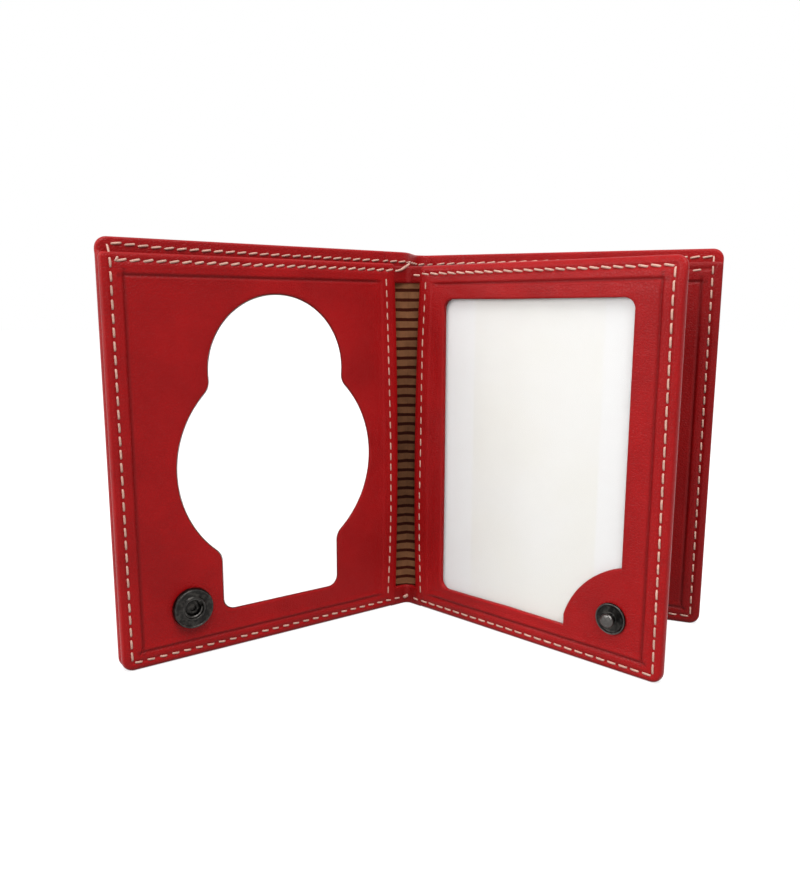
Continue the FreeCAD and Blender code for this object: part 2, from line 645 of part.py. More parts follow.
# Rear leaf: right half of the outer cover and its pocket panel
REAR_START = "leather / 2 + hinge_gap"
REAR_INNER = "rear_width - hem_width"

cover_right = Piece("cover_right", REAR_LEAF)
outline = cover_right.face_sketch(REAR_COVER_FACE)
draw_loop(outline, block(REAR_START, "rear_width", "0", "cover_height"))
cover_right.grow(outline, "leather")
cover_right.round_corners("corner_radius", [("rear_width", "0"), ("rear_width", "cover_height")])
cover_right.round_rim("edge_round", REAR_COVER_FACE + " + leather")
hem = cover_right.face_sketch(POCKET_LINING_FACE)
draw_loop(hem, [
    ("pocket_setback", "0"), ("rear_width - corner_radius", "0"), ("rear_width", "corner_radius"),
    ("rear_width", "panel_height"), (REAR_INNER, "panel_height"), (REAR_INNER, "hem_width"),
    ("pocket_setback", "hem_width"),
], {1: ("corner_radius", 1)})
cover_right.grow(hem, "note_gap + lining * 2")
hem = cover_right.face_sketch(REAR_LINING_FACE)
draw_loop(hem, [
    (REAR_START, "cover_height - hem_width"), ("rear_width", "cover_height - hem_width"),
    ("rear_width", "cover_height - corner_radius"), ("rear_width - corner_radius", "cover_height"),
    (REAR_START, "cover_height"),
], {2: ("corner_radius", 1)})
cover_right.grow(hem, "lining")

cover_right_lining = Piece("cover_right_lining", REAR_LEAF)
outline = cover_right_lining.face_sketch(REAR_LINING_FACE)
draw_loop(outline, block(REAR_START, REAR_INNER + " - fit_gap", "hem_width + fit_gap",
                         "cover_height - hem_width - fit_gap"))
cover_right_lining.grow(outline, "lining")

pocket_panel = Piece("pocket_panel", REAR_LEAF)
outline = pocket_panel.face_sketch(POCKET_PANEL_FACE)
draw_loop(outline, block("pocket_setback", "rear_width", "0", "panel_height"))
pocket_panel.grow(outline, "leather")
pocket_panel.round_corners("corner_radius", [("rear_width", "0")])
pocket_panel.round_corners("panel_corner", [("rear_width", "panel_height")])
pocket_panel.round_rim("edge_round", POCKET_PANEL_FACE)
crease = pocket_panel.face_sketch(POCKET_PANEL_FACE)
draw_loop(crease, crease_band("pocket_setback", "rear_width - crease_inset", "crease_inset",
                              "panel_height - crease_inset", 1))
pocket_panel.cut(crease, "crease_depth")

pocket_lining = Piece("pocket_lining", REAR_LEAF)
outline = pocket_lining.face_sketch(POCKET_LINING_FACE)
draw_loop(outline, block("pocket_setback", REAR_INNER + " - fit_gap", "hem_width + fit_gap", "panel_height"))
pocket_lining.grow(outline, "lining")

doc.recompute()
for thing in doc.Objects:
    if "Invalid" in thing.State or "Error" in thing.State:
        raise RuntimeError("%s is %s" % (thing.Label, thing.State))

os.makedirs("parts", exist_ok=True)
for body in [thing for thing in doc.Objects if thing.TypeId == "PartDesign::Body"]:
    shape = body.Shape
    if shape.isNull() or not shape.isValid() or len(shape.Solids) != 1:
        raise RuntimeError("%s has no sound single solid" % body.Label)
    shape.exportStep("parts/%s.step" % body.Label)
    print(body.Label, round(shape.Volume, 1))
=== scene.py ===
"""Looks of the red leather badge wallet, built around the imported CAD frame."""

import json
import logging
import math
from dataclasses import dataclass
from enum import Enum
from typing import Callable

import bmesh
import bpy
import numpy as np
from mathutils import Matrix, Vector

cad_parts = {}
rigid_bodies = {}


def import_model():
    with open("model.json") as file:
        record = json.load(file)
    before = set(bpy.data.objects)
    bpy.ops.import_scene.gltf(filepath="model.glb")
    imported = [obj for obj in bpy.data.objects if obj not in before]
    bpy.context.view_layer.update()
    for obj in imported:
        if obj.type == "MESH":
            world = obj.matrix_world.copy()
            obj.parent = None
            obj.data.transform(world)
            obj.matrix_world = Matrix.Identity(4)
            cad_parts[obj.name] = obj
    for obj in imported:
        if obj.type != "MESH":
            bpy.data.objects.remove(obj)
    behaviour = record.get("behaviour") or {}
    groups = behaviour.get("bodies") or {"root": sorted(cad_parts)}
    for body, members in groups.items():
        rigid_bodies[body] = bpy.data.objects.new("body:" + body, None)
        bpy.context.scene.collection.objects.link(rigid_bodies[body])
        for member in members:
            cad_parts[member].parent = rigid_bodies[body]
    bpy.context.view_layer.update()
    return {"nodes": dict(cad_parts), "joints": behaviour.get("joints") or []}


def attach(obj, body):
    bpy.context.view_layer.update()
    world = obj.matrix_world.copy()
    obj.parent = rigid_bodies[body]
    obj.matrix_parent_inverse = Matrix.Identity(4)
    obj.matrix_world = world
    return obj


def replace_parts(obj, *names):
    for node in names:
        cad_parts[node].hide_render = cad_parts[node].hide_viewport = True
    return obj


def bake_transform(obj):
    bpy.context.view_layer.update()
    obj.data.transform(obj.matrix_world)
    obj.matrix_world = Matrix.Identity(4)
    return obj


LOG = logging.getLogger("wallet")
MM = 0.001
WHITE = (1.0, 1.0, 1.0)
BLACK = (0.0, 0.0, 0.0)

# Values of a noise between which a blotch of it fades in
BLOTCH = (0.3, 0.7)

# Sizes that several pieces share, in millimetres
COVER_HEIGHT = 100.0
MID_HEIGHT = 50.0
PANEL_HEIGHT = 96.0
PANEL_TOP = PANEL_HEIGHT + 0.6
LEATHER = 1.2
LINING = 0.3
FOLD_RADIUS = 1.5
COVER_LEVEL = FOLD_RADIUS + 4.5
HEM = 6.0
CORNER = 2.7
STITCH_PITCH = 3.0
SNAP = (63.4, 12.8)

# The inset of a seam's valley on a side that has none
NO_SEAM = 60.0

# Turns of the leaves about their upright folds, in degrees
BADGE_TURN = 33.0
FLAP_TURN = -44.8
REAR_TURN = -24.4

# Edges that turn by more than this are shaded sharp, in degrees
SHARP_ANGLE = 50.0


class Side(Enum):
    """Which way a leaf runs from its fold: to the left or to the right."""

    LEFT = -1
    RIGHT = 1


class Face(Enum):
    """Which face of a sheet is its finished one: the front or the back."""

    FRONT = 1
    BACK = -1


class Shade:
    """A number in a node tree; arithmetic on it adds Math nodes."""

    def __init__(self, nodes: "Nodes", socket: bpy.types.NodeSocket) -> None:
        """Wrap a socket of a tree."""
        self.nodes = nodes
        self.socket = socket

    def combine(self, operation: str, first: "Shade | float", second: "Shade | float") -> "Shade":
        """Return what one Math node makes of two values."""
        return self.nodes.value("ShaderNodeMath", {0: first, 1: second}, operation=operation)

    def __add__(self, other: "Shade | float") -> "Shade":
        """Return the sum."""
        return self.combine("ADD", self, other)

    def __radd__(self, other: float) -> "Shade":
        """Return a number plus this."""
        return self.combine("ADD", other, self)

    def __sub__(self, other: "Shade | float") -> "Shade":
        """Return the difference."""
        return self.combine("SUBTRACT", self, other)

    def __rsub__(self, other: float) -> "Shade":
        """Return a number less this."""
        return self.combine("SUBTRACT", other, self)

    def __mul__(self, other: "Shade | float") -> "Shade":
        """Return the product."""
        return self.combine("MULTIPLY", self, other)

    def __rmul__(self, other: float) -> "Shade":
        """Return a number times this."""
        return self.combine("MULTIPLY", other, self)

    def __truediv__(self, other: "Shade | float") -> "Shade":
        """Return the quotient."""
        return self.combine("DIVIDE", self, other)

    def __rtruediv__(self, other: float) -> "Shade":
        """Return a number over this."""
        return self.combine("DIVIDE", other, self)

    def fraction(self) -> "Shade":
        """Return the part after the decimal point."""
        return self.combine("FRACT", self, 0.0)

    def size(self) -> "Shade":
        """Return the value without its sign."""
        return self.combine("ABSOLUTE", self, 0.0)

    def larger(self, other: "Shade") -> "Shade":
        """Return the larger of two values."""
        return self.combine("MAXIMUM", self, other)

    def ramp(self, low: float, high: float) -> "Shade":
        """Return a smooth step from 0 at low to 1 at high."""
        return self.nodes.value("ShaderNodeMapRange", {0: self, 1: low, 2: high, 3: 0.0, 4: 1.0},
                                interpolation_type="SMOOTHSTEP")

    def line(self, low: float, high: float, start: "Shade | float", stop: float) -> "Shade":
        """Return a straight run from start at low to stop at high, level beyond them."""
        return self.nodes.value("ShaderNodeMapRange", {0: self, 1: low, 2: high, 3: start, 4: stop})


class Nodes:
    """A node tree under construction."""

    def __init__(self, tree: bpy.types.NodeTree) -> None:
        """Wrap a tree."""
        self.tree = tree

    def add(self, kind: str, inputs: dict, **settings: object) -> bpy.types.Node:
        """Add a node.

        Args:
            kind: the node's type name.
            inputs: values, sockets or shades by input name or index.
            settings: attributes of the node, set first.

        Returns:
            The new node.
        """
        node = self.tree.nodes.new(kind)
        for key, value in settings.items():
            setattr(node, key, value)
        for key, value in inputs.items():
            self.feed(node.inputs[key], value)
        return node

    def feed(self, socket: bpy.types.NodeSocket, value: object) -> None:
        """Set an input to a constant, or link it.

        Args:
            socket: the input.
            value: a number, a colour of three parts, a socket or a shade.
        """
        if isinstance(value, Shade):
            value = value.socket
        if isinstance(value, bpy.types.NodeSocket):
            self.tree.links.new(value, socket)
        else:
            socket.default_value = (*value, 1.0) if isinstance(value, tuple) else value

    def value(self, kind: str, inputs: dict, output: int | str = 0, **settings: object) -> Shade:
        """Add a node and return one of its outputs as a shade."""
        return Shade(self, self.add(kind, inputs, **settings).outputs[output])

    def mix(self, factor: Shade, low: object, high: object) -> bpy.types.NodeSocket:
        """Return a colour between two, each of them a colour or a socket."""
        return self.add("ShaderNodeMix", {0: factor, 6: low, 7: high}, data_type="RGBA").outputs[2]

    def seen(self) -> Shade:
        """Find the rays that show the surroundings: the camera's, and mirrored or transmitted ones.

        Returns:
            1 for those rays and 0 for others.
        """
        rays = self.add("ShaderNodeLightPath", {}).outputs
        camera = Shade(self, rays["Is Camera Ray"])
        mirrored = Shade(self, rays["Is Glossy Ray"])
        return camera.larger(mirrored).larger(Shade(self, rays["Is Transmission Ray"]))


class Paint(Nodes):
    """A material under construction, with one Principled shader."""

    def __init__(self, name: str) -> None:
        """Start a material.

        Args:
            name: the material's name.
        """
        self.material = bpy.data.materials.new(name)
        self.material.use_nodes = True
        super().__init__(self.material.node_tree)
        self.shader = self.tree.nodes["Principled BSDF"]
        self.place = self.add("ShaderNodeTexCoord", {}).outputs["Object"]

    def set(self, **values: object) -> None:
        """Feed the Principled shader's inputs, named with underscores for spaces."""
        for key, value in values.items():
            self.feed(self.shader.inputs[key.replace("_", " ")], value)

    def noise(self, scale: float, detail: float = 2.0, roughness: float = 0.5) -> Shade:
        """Return noise over the piece's own coordinates, scale per metre."""
        return self.value("ShaderNodeTexNoise", {"Vector": self.place, "Scale": scale,
                                                 "Detail": detail, "Roughness": roughness})

    def cells(self, scale: float) -> Shade:
        """Return the distance to the edges of a cell pattern."""
        return self.value("ShaderNodeTexVoronoi", {"Vector": self.place, "Scale": scale}, "Distance",
                          feature="DISTANCE_TO_EDGE")

    def axis(self, index: int) -> Shade:
        """Return one of the piece's own coordinates."""
        return self.value("ShaderNodeSeparateXYZ", {0: self.place}, index)

    def mark(self, name: str) -> Shade:
        """Return a number that the points of the mesh carry."""
        return self.value("ShaderNodeAttribute", {}, "Fac", attribute_name=name)

    def bump(self, height: Shade, distance: float, strength: float) -> None:
        """Turn a height into the shader's normal."""
        inputs = {"Height": height, "Distance": distance, "Strength": strength}
        self.set(Normal=self.add("ShaderNodeBump", inputs).outputs[0])


def dim(colour: tuple, share: float) -> tuple:
    """Return a share of a colour's light."""
    return tuple(share * part for part in colour)


@dataclass(frozen=True)
class Finish:
    """A named finish, which dresses one material."""

    name: str

    def dress(self, paint: Paint) -> None:
        """Set the material's nodes, in the way of each kind of finish."""
        raise NotImplementedError

    def build(self) -> bpy.types.Material:
        """Make the material.

        Returns:
            The dressed material.
        """
        paint = Paint(self.name)
        self.dress(paint)
        return paint.material


@dataclass(frozen=True)
class LeatherFinish(Finish):
    """Smooth dyed leather with a fine grain; its scales are per metre."""

    dark: tuple = (0.188, 0.0020, 0.0026)
    light: tuple = (0.245, 0.0030, 0.0037)
    roughness: float = 0.29
    shine: float = 0.12
    painted_shade_tone: float = 0.72
    cloud_scale: float = 55.0
    cloud_range: tuple = (0.3, 0.72)
    cloud_dullness: float = 0.12
    grain_scale: float = 1500.0
    grain_gap: float = 0.16
    grain_share: float = 0.15
    pore_scale: float = 2600.0
    pore_dullness: float = 0.06
    ripple_scale: float = 420.0
    bump_shares: tuple = (0.6, 0.5, 0.9)
    bump_height: float = 0.00012
    bump_strength: float = 0.55

    def dress(self, paint: Paint) -> None:
        """Lay wide clouds of tone under a grain of small cells, and paint shade where the crease mark
        says.

        Args:
            paint: the material.
        """
        cloud = paint.noise(self.cloud_scale, detail=4.0, roughness=0.6)
        grain = paint.cells(self.grain_scale).ramp(0.0, self.grain_gap)
        pores = paint.noise(self.pore_scale)
        ripple = paint.noise(self.ripple_scale, detail=3.0)
        tone = cloud.ramp(*self.cloud_range) * (1.0 - self.grain_share) + grain * self.grain_share
        hue = paint.mix(tone, self.dark, self.light)
        # Painted shade: the crease mark darkens the creased lines and the foot towards a share of the
        # dark tone
        hue = paint.mix(paint.mark("crease"), hue, dim(self.dark, self.painted_shade_tone))
        dullness = cloud * self.cloud_dullness + self.roughness + pores * self.pore_dullness
        paint.set(Base_Color=hue, Roughness=dullness, Specular_IOR_Level=self.shine)
        fine, finer, wide = self.bump_shares
        height = grain * fine + pores * finer + ripple * wide
        paint.bump(height, self.bump_height, self.bump_strength)


@dataclass(frozen=True)
class ClothFinish(Finish):
    """Lining cloth, plain or with narrow dark stripes across it; sizes are in metres."""

    base: tuple = (0.165, 0.070, 0.032)
    stripe: tuple = (0.028, 0.0040, 0.0014)
    dull: float = 0.72
    pitch: float = 0.0
    first: float = 0.08976
    waver: float = 0.0004
    band_edge: tuple = (0.300, 0.360)
    shadow: float = 0.4
    lit_top: tuple = (0.040, 0.100)
    lit_foot: tuple = (0.0, 0.032)
    roughness: float = 0.82
    shine: float = 0.04
    blotch_scale: float = 260.0
    weave_scale: float = 3200.0
    weave_height: float = 0.00015
    weave_strength: float = 0.5

    def dress(self, paint: Paint) -> None:
        """Lay a blotched tone and level stripes, with painted shade in the middle of the slot's height.

        Args:
            paint: the material.
        """
        shade = paint.noise(self.blotch_scale, detail=3.0)
        colour = paint.mix(shade.ramp(*BLOTCH), dim(self.base, self.dull), self.base)
        if self.pitch:
            height = paint.axis(2)
            turn = (height - self.first + shade * self.waver) / self.pitch
            band = (turn.fraction() - 0.5).size().ramp(*self.band_edge)
            # Painted shade: lit at the top and the foot, darker between
            lit = height.ramp(*self.lit_top) + (1.0 - height.ramp(*self.lit_foot))
            colour = paint.mix(band, colour, self.stripe)
            colour = paint.mix(lit * (1.0 - self.shadow) + self.shadow, BLACK, colour)
        paint.set(Base_Color=colour, Roughness=self.roughness, Specular_IOR_Level=self.shine)
        paint.bump(paint.noise(self.weave_scale), self.weave_height, self.weave_strength)


@dataclass(frozen=True)
class MetalFinish(Finish):
    """Plated metal with worn patches, and a brighter colour on the raised parts that its mark picks out.
    """

    base: tuple
    worn: tuple
    roughness: float
    bright: tuple = (0.080, 0.076, 0.072)
    wear_scale: float = 900.0
    wear_range: tuple = (0.4, 0.7)
    wear_dullness: float = 0.2
    dent_scale: float = 1300.0
    dent_height: float = 0.0003
    dent_strength: float = 0.45

    def dress(self, paint: Paint) -> None:
        """Mix plating and wear by noise, and brighten the raised rims.

        Args:
            paint: the material.
        """
        wear = paint.noise(self.wear_scale, detail=4.0, roughness=0.65)
        plating = paint.mix(wear.ramp(*self.wear_range), self.base, self.worn)
        colour = paint.mix(paint.mark("rubbed"), plating, self.bright)
        dullness = wear * self.wear_dullness + self.roughness
        paint.set(Base_Color=colour, Metallic=1.0, Roughness=dullness)
        dents = paint.noise(self.dent_scale, detail=3.0)
        paint.bump(dents, self.dent_height, self.dent_strength)


@dataclass(frozen=True)
class PlainFinish(Finish):
    """An even surface: thread, enamel or board."""

    base: tuple
    roughness: float
    coat: float = 0.0
    fibre: float = 0.0
    blotch_scale: float = 60.0
    blotch_tone: float = 0.97
    strand_scale: float = 700.0
    strand_dimming: float = 0.35
    fibre_scale: float = 5200.0
    fibre_height: float = 0.0001

    def dress(self, paint: Paint) -> None:
        """Lay one tone with a faint blotch, and fine fibres on thread.

        Args:
            paint: the material.
        """
        tone = paint.noise(self.strand_scale if self.fibre else self.blotch_scale, detail=3.0)
        low = dim(self.base, self.blotch_tone - self.strand_dimming * self.fibre)
        paint.set(Base_Color=paint.mix(tone.ramp(*BLOTCH), low, self.base),
                  Roughness=self.roughness, Coat_Weight=self.coat)
        if self.fibre:
            paint.bump(paint.noise(self.fibre_scale), self.fibre_height, self.fibre)


@dataclass(frozen=True)
class CardFinish(Finish):
    """Blank white card with a pale cream middle, laid out along the flap."""

    fold: tuple
    turn: float
    white: tuple = (0.485, 0.485, 0.480)
    cream: tuple = (0.470, 0.462, 0.428)
    middle: tuple = (20.0, 57.0)
    blur: float = 0.001
    cloud_scale: float = 45.0
    least_tint: float = 0.5
    roughness: float = 0.45

    def dress(self, paint: Paint) -> None:
        """Tint a band of the card by its distance from the fold, along the turned flap.

        Args:
            paint: the material.
        """
        a = math.radians(self.turn)
        x = paint.axis(0) - self.fold[0] * MM
        y = paint.axis(1) - self.fold[1] * MM
        along = x * math.cos(a) + y * math.sin(a)
        start, stop = (edge * MM for edge in self.middle)
        inside = along.ramp(start, start + self.blur) * (1.0 - along.ramp(stop, stop + self.blur))
        cloud = paint.noise(self.cloud_scale, detail=3.0).ramp(*BLOTCH)
        tint = inside * (cloud * (1.0 - self.least_tint) + self.least_tint)
        colour = paint.mix(tint, self.white, self.cream)
        paint.set(Base_Color=colour, Roughness=self.roughness)


@dataclass(frozen=True)
class FilmFinish(Finish):
    """Clear film: nearly invisible, with a weak shine."""

    shine: float = 0.08
    roughness: float = 0.12

    def dress(self, paint: Paint) -> None:
        """Leave only a little of a smooth white surface."""
        paint.set(Base_Color=WHITE, Roughness=self.roughness, Alpha=self.shine)


class Finishes:
    """The materials of the wallet, and the thread."""

    def __init__(self) -> None:
        """Make every material but the card's, which needs the flap's place."""
        self.leather = LeatherFinish("red_leather").build()
        # A darker copy of the red leather: painted shade for the pocket panel behind the flap and for
        # the fold's bridges
        self.shaded_leather = LeatherFinish("shaded_red_leather", (0.140, 0.0016, 0.0020),
                                          (0.182, 0.0024, 0.0029)).build()
        self.lining = ClothFinish("lining_cloth").build()
        self.striped = ClothFinish("striped_lining", pitch=0.00263).build()
        self.metal = MetalFinish("snap_metal", (0.015, 0.0143, 0.0135), (0.046, 0.043, 0.039),
                                 0.26).build()
        self.spring = MetalFinish("spring_steel", (0.050, 0.047, 0.044), (0.095, 0.090, 0.084),
                                  0.34).build()
        self.thread = PlainFinish("cream_thread", (0.43, 0.245, 0.19), 0.7, fibre=0.6).build()
        self.enamel = PlainFinish("white_enamel", (0.93, 0.93, 0.93), 0.22, coat=0.4).build()
        self.board = PlainFinish("stiff_board", (0.45, 0.36, 0.25), 0.85).build()
        self.film = FilmFinish("clear_film").build()


@dataclass(frozen=True)
class Leaf:
    """A flat leaf's own frame: along from its fold, depth behind it and height, in millimetres."""

    body: str
    fold: tuple
    turn: float
    side: Side

    def place(self, along: np.ndarray, depth: np.ndarray, height: np.ndarray) -> np.ndarray:
        """Turn points of the leaf about its fold into the world.

        Args:
            along: distances from the fold.
            depth: distances behind the fold.
            height: heights above the ground.

        Returns:
            World points in metres.
        """
        a = math.radians(self.turn)
        x, y, z = np.broadcast_arrays(self.side.value * np.asarray(along, float), depth, height)
        return np.stack([self.fold[0] + x * math.cos(a) - y * math.sin(a),
                         self.fold[1] + x * math.sin(a) + y * math.cos(a), z], axis=-1) * MM

    def plan(self, along: np.ndarray, depth: float) -> np.ndarray:
        """Return plan points, in millimetres, of points of the leaf."""
        return self.place(along, depth, 0.0)[..., :2] / MM

    def local(self, points: np.ndarray) -> np.ndarray:
        """Turn world points back into the leaf's frame.

        Args:
            points: world points in metres.

        Returns:
            Along, depth and height of each, in millimetres.
        """
        a = math.radians(self.turn)
        x = points[:, 0] / MM - self.fold[0]
        y = points[:, 1] / MM - self.fold[1]
        along = self.side.value * (x * math.cos(a) + y * math.sin(a))
        return np.stack([along, y * math.cos(a) - x * math.sin(a), points[:, 2] / MM], -1)


def link(name: str, data: bpy.types.ID) -> bpy.types.Object:
    """Put a mesh, lamp or camera into the scene.

    Args:
        name: the object's name.
        data: what it shows.

    Returns:
        The object.
    """
    thing = bpy.data.objects.new(name, data)
    bpy.context.scene.collection.objects.link(thing)
    return thing


def build_mesh(name: str, points: np.ndarray, faces: list, material: bpy.types.Material,
               **marks: np.ndarray) -> bpy.types.Object:
    """Make a smooth mesh object with outward normals.

    Args:
        name: the object's name.
        points: vertices in metres, any leading shape.
        faces: vertex indices of each face.
        material: the finish.
        marks: numbers that the vertices carry for the finish, by name.

    Returns:
        The linked object.
    """
    mesh = bpy.data.meshes.new(name)
    mesh.from_pydata(points.reshape(-1, 3), [], faces)
    mesh.materials.append(material)
    work = bmesh.new()
    work.from_mesh(mesh)
    bmesh.ops.recalc_face_normals(work, faces=work.faces)
    work.to_mesh(mesh)
    work.free()
    mesh.shade_smooth()
    mesh.set_sharp_from_angle(angle=math.radians(SHARP_ANGLE))
    for key, values in marks.items():
        mesh.attributes.new(key, "FLOAT", "POINT").data.foreach_set("value", values)
    return link(name, mesh)


def grid_faces(rows: int, columns: int, closed: bool) -> np.ndarray:
    """Join each point of a grid to the next in its row, which wraps round, and to the next row.

    Args:
        rows: rows of the grid.
        columns: points in a row.
        closed: whether the last row joins the first.

    Returns:
        The quads.
    """
    r, c = np.meshgrid(np.arange(rows if closed else rows - 1), np.arange(columns), indexing="ij")
    here, below = r * columns, (r + 1) % rows * columns
    beside = (c + 1) % columns
    return np.stack([here + c, here + beside, below + beside, below + c], -1).reshape(-1, 4)


def end_faces(rows: int, columns: int) -> np.ndarray:
    """Return the first and the last row of a grid, as the two faces that close its ends."""
    return np.arange(columns) + np.array([[0], [(rows - 1) * columns]])


def step(value: np.ndarray, low: float, high: float) -> np.ndarray:
    """Return a smooth step from 0 at low to 1 at high."""
    t = np.clip((np.asarray(value, float) - low) / (high - low), 0.0, 1.0)
    return t * t * (3.0 - 2.0 * t)


def bell(distance: np.ndarray, width: float) -> np.ndarray:
    """Return a bell curve, 1 at distance 0."""
    return np.exp(-(distance / width) ** 2)


def unit(vectors: np.ndarray) -> np.ndarray:
    """Return vectors of length 1 in the same directions."""
    return vectors / np.linalg.norm(vectors, axis=-1, keepdims=True)


def spokes(angle: np.ndarray) -> np.ndarray:
    """Return vectors of length 1 in a plane at the given angles."""
    return np.stack([np.cos(angle), np.sin(angle)], -1)


def distances(points: np.ndarray) -> np.ndarray:
    """Return how far along a path each of its points lies."""
    return np.concatenate([[0.0], np.cumsum(np.linalg.norm(np.diff(points, axis=0), axis=1))])


def walk(points: np.ndarray, spots: np.ndarray) -> np.ndarray:
    """Return the points that lie at given distances along a path."""
    lengths = distances(points)
    return np.stack([np.interp(spots, lengths, column) for column in points.T], -1)


def resample(points: np.ndarray, pitch: float, nudge: float = 0.05) -> tuple:
    """Space points evenly along a path, each in the middle of its share of the length.

    Args:
        points: the path.
        pitch: the wanted spacing.
        nudge: how far to either side the direction is taken.

    Returns:
        The points and the path's directions there.
    """
    whole = distances(points)[-1]
    count = max(int(round(whole / pitch)), 1)
    spots = (np.arange(count) + 0.5) * whole / count
    return walk(points, spots), unit(walk(points, spots + nudge) - walk(points, spots - nudge))


@dataclass
class Outline:
    """An upright rectangle with rounded corners, in a leaf's along and height.

    Its near side may lean towards the fold at the foot, and bow towards it at mid height.
    """

    near: float
    far: float
    low: float
    high: float
    radii: tuple
    lean: float = 0.0
    bow: float = 0.0
    least_radius: float = 0.35
    near_reach: tuple = (1.5, 14.0)
    side_steps: int = 150
    arc_steps: int = 9

    def loop(self, inset: float) -> np.ndarray:
        """Join four quarter circles by straight runs, anticlockwise from the near foot.

        Points within reach of the near side then shift by a straight lean and a parabolic bow.

        Args:
            inset: how far the outline is moved inward.

        Returns:
            Points that match from inset to inset.
        """
        a0, a1 = self.near + inset, self.far - inset
        z0, z1 = self.low + inset, self.high - inset
        r = np.maximum(np.array(self.radii) - inset, self.least_radius)[:, None]
        inward = np.array([(1, 1), (-1, 1), (-1, -1), (1, -1)])
        centres = np.array([(a0, z0), (a1, z0), (a1, z1), (a0, z1)]) + r * inward
        first = math.pi + np.arange(4)[:, None] * math.pi / 2
        arcs = spokes(first + np.linspace(0, math.pi / 2, self.arc_steps))
        arcs = centres[:, None] + r[:, None] * arcs
        start, stop = arcs[:, -1:], np.roll(arcs, -1, axis=0)[:, :1]
        runs = start + (stop - start) * np.linspace(0, 1, self.side_steps + 2)[1:-1, None]
        points = np.concatenate([arcs, runs], axis=1).reshape(-1, 2)
        up = np.clip((points[:, 1] - self.low) / (self.high - self.low), 0.0, 1.0)
        shift = self.lean * (1.0 - up) + self.bow * 4.0 * up * (1.0 - up)
        points[:, 0] -= shift * (1.0 - step(points[:, 0] - self.near, *self.near_reach))
        return points

    def spread(self, sides: tuple) -> np.ndarray:
        """Give each point of a loop its side's number, run evenly from one to the next at corners.

        Args:
            sides: the numbers of the foot, far, top and near sides.

        Returns:
            One number for each point.
        """
        after = np.array(sides, float)
        bends = np.linspace(np.roll(after, 1), after, self.arc_steps, axis=1)
        runs = np.repeat(after[:, None], self.side_steps, axis=1)
        return np.concatenate([bends, runs], axis=1).ravel()


@dataclass(frozen=True)
class Row:
    """A row of stitches through (along, height) spots of a sheet.

    A third number in a spot is how far it lies behind the finished face.
    """

    name: str
    spots: list
    slant: float = 3.0
    length: float = 2.7
    radius: float = 0.26
    inside: bool = False


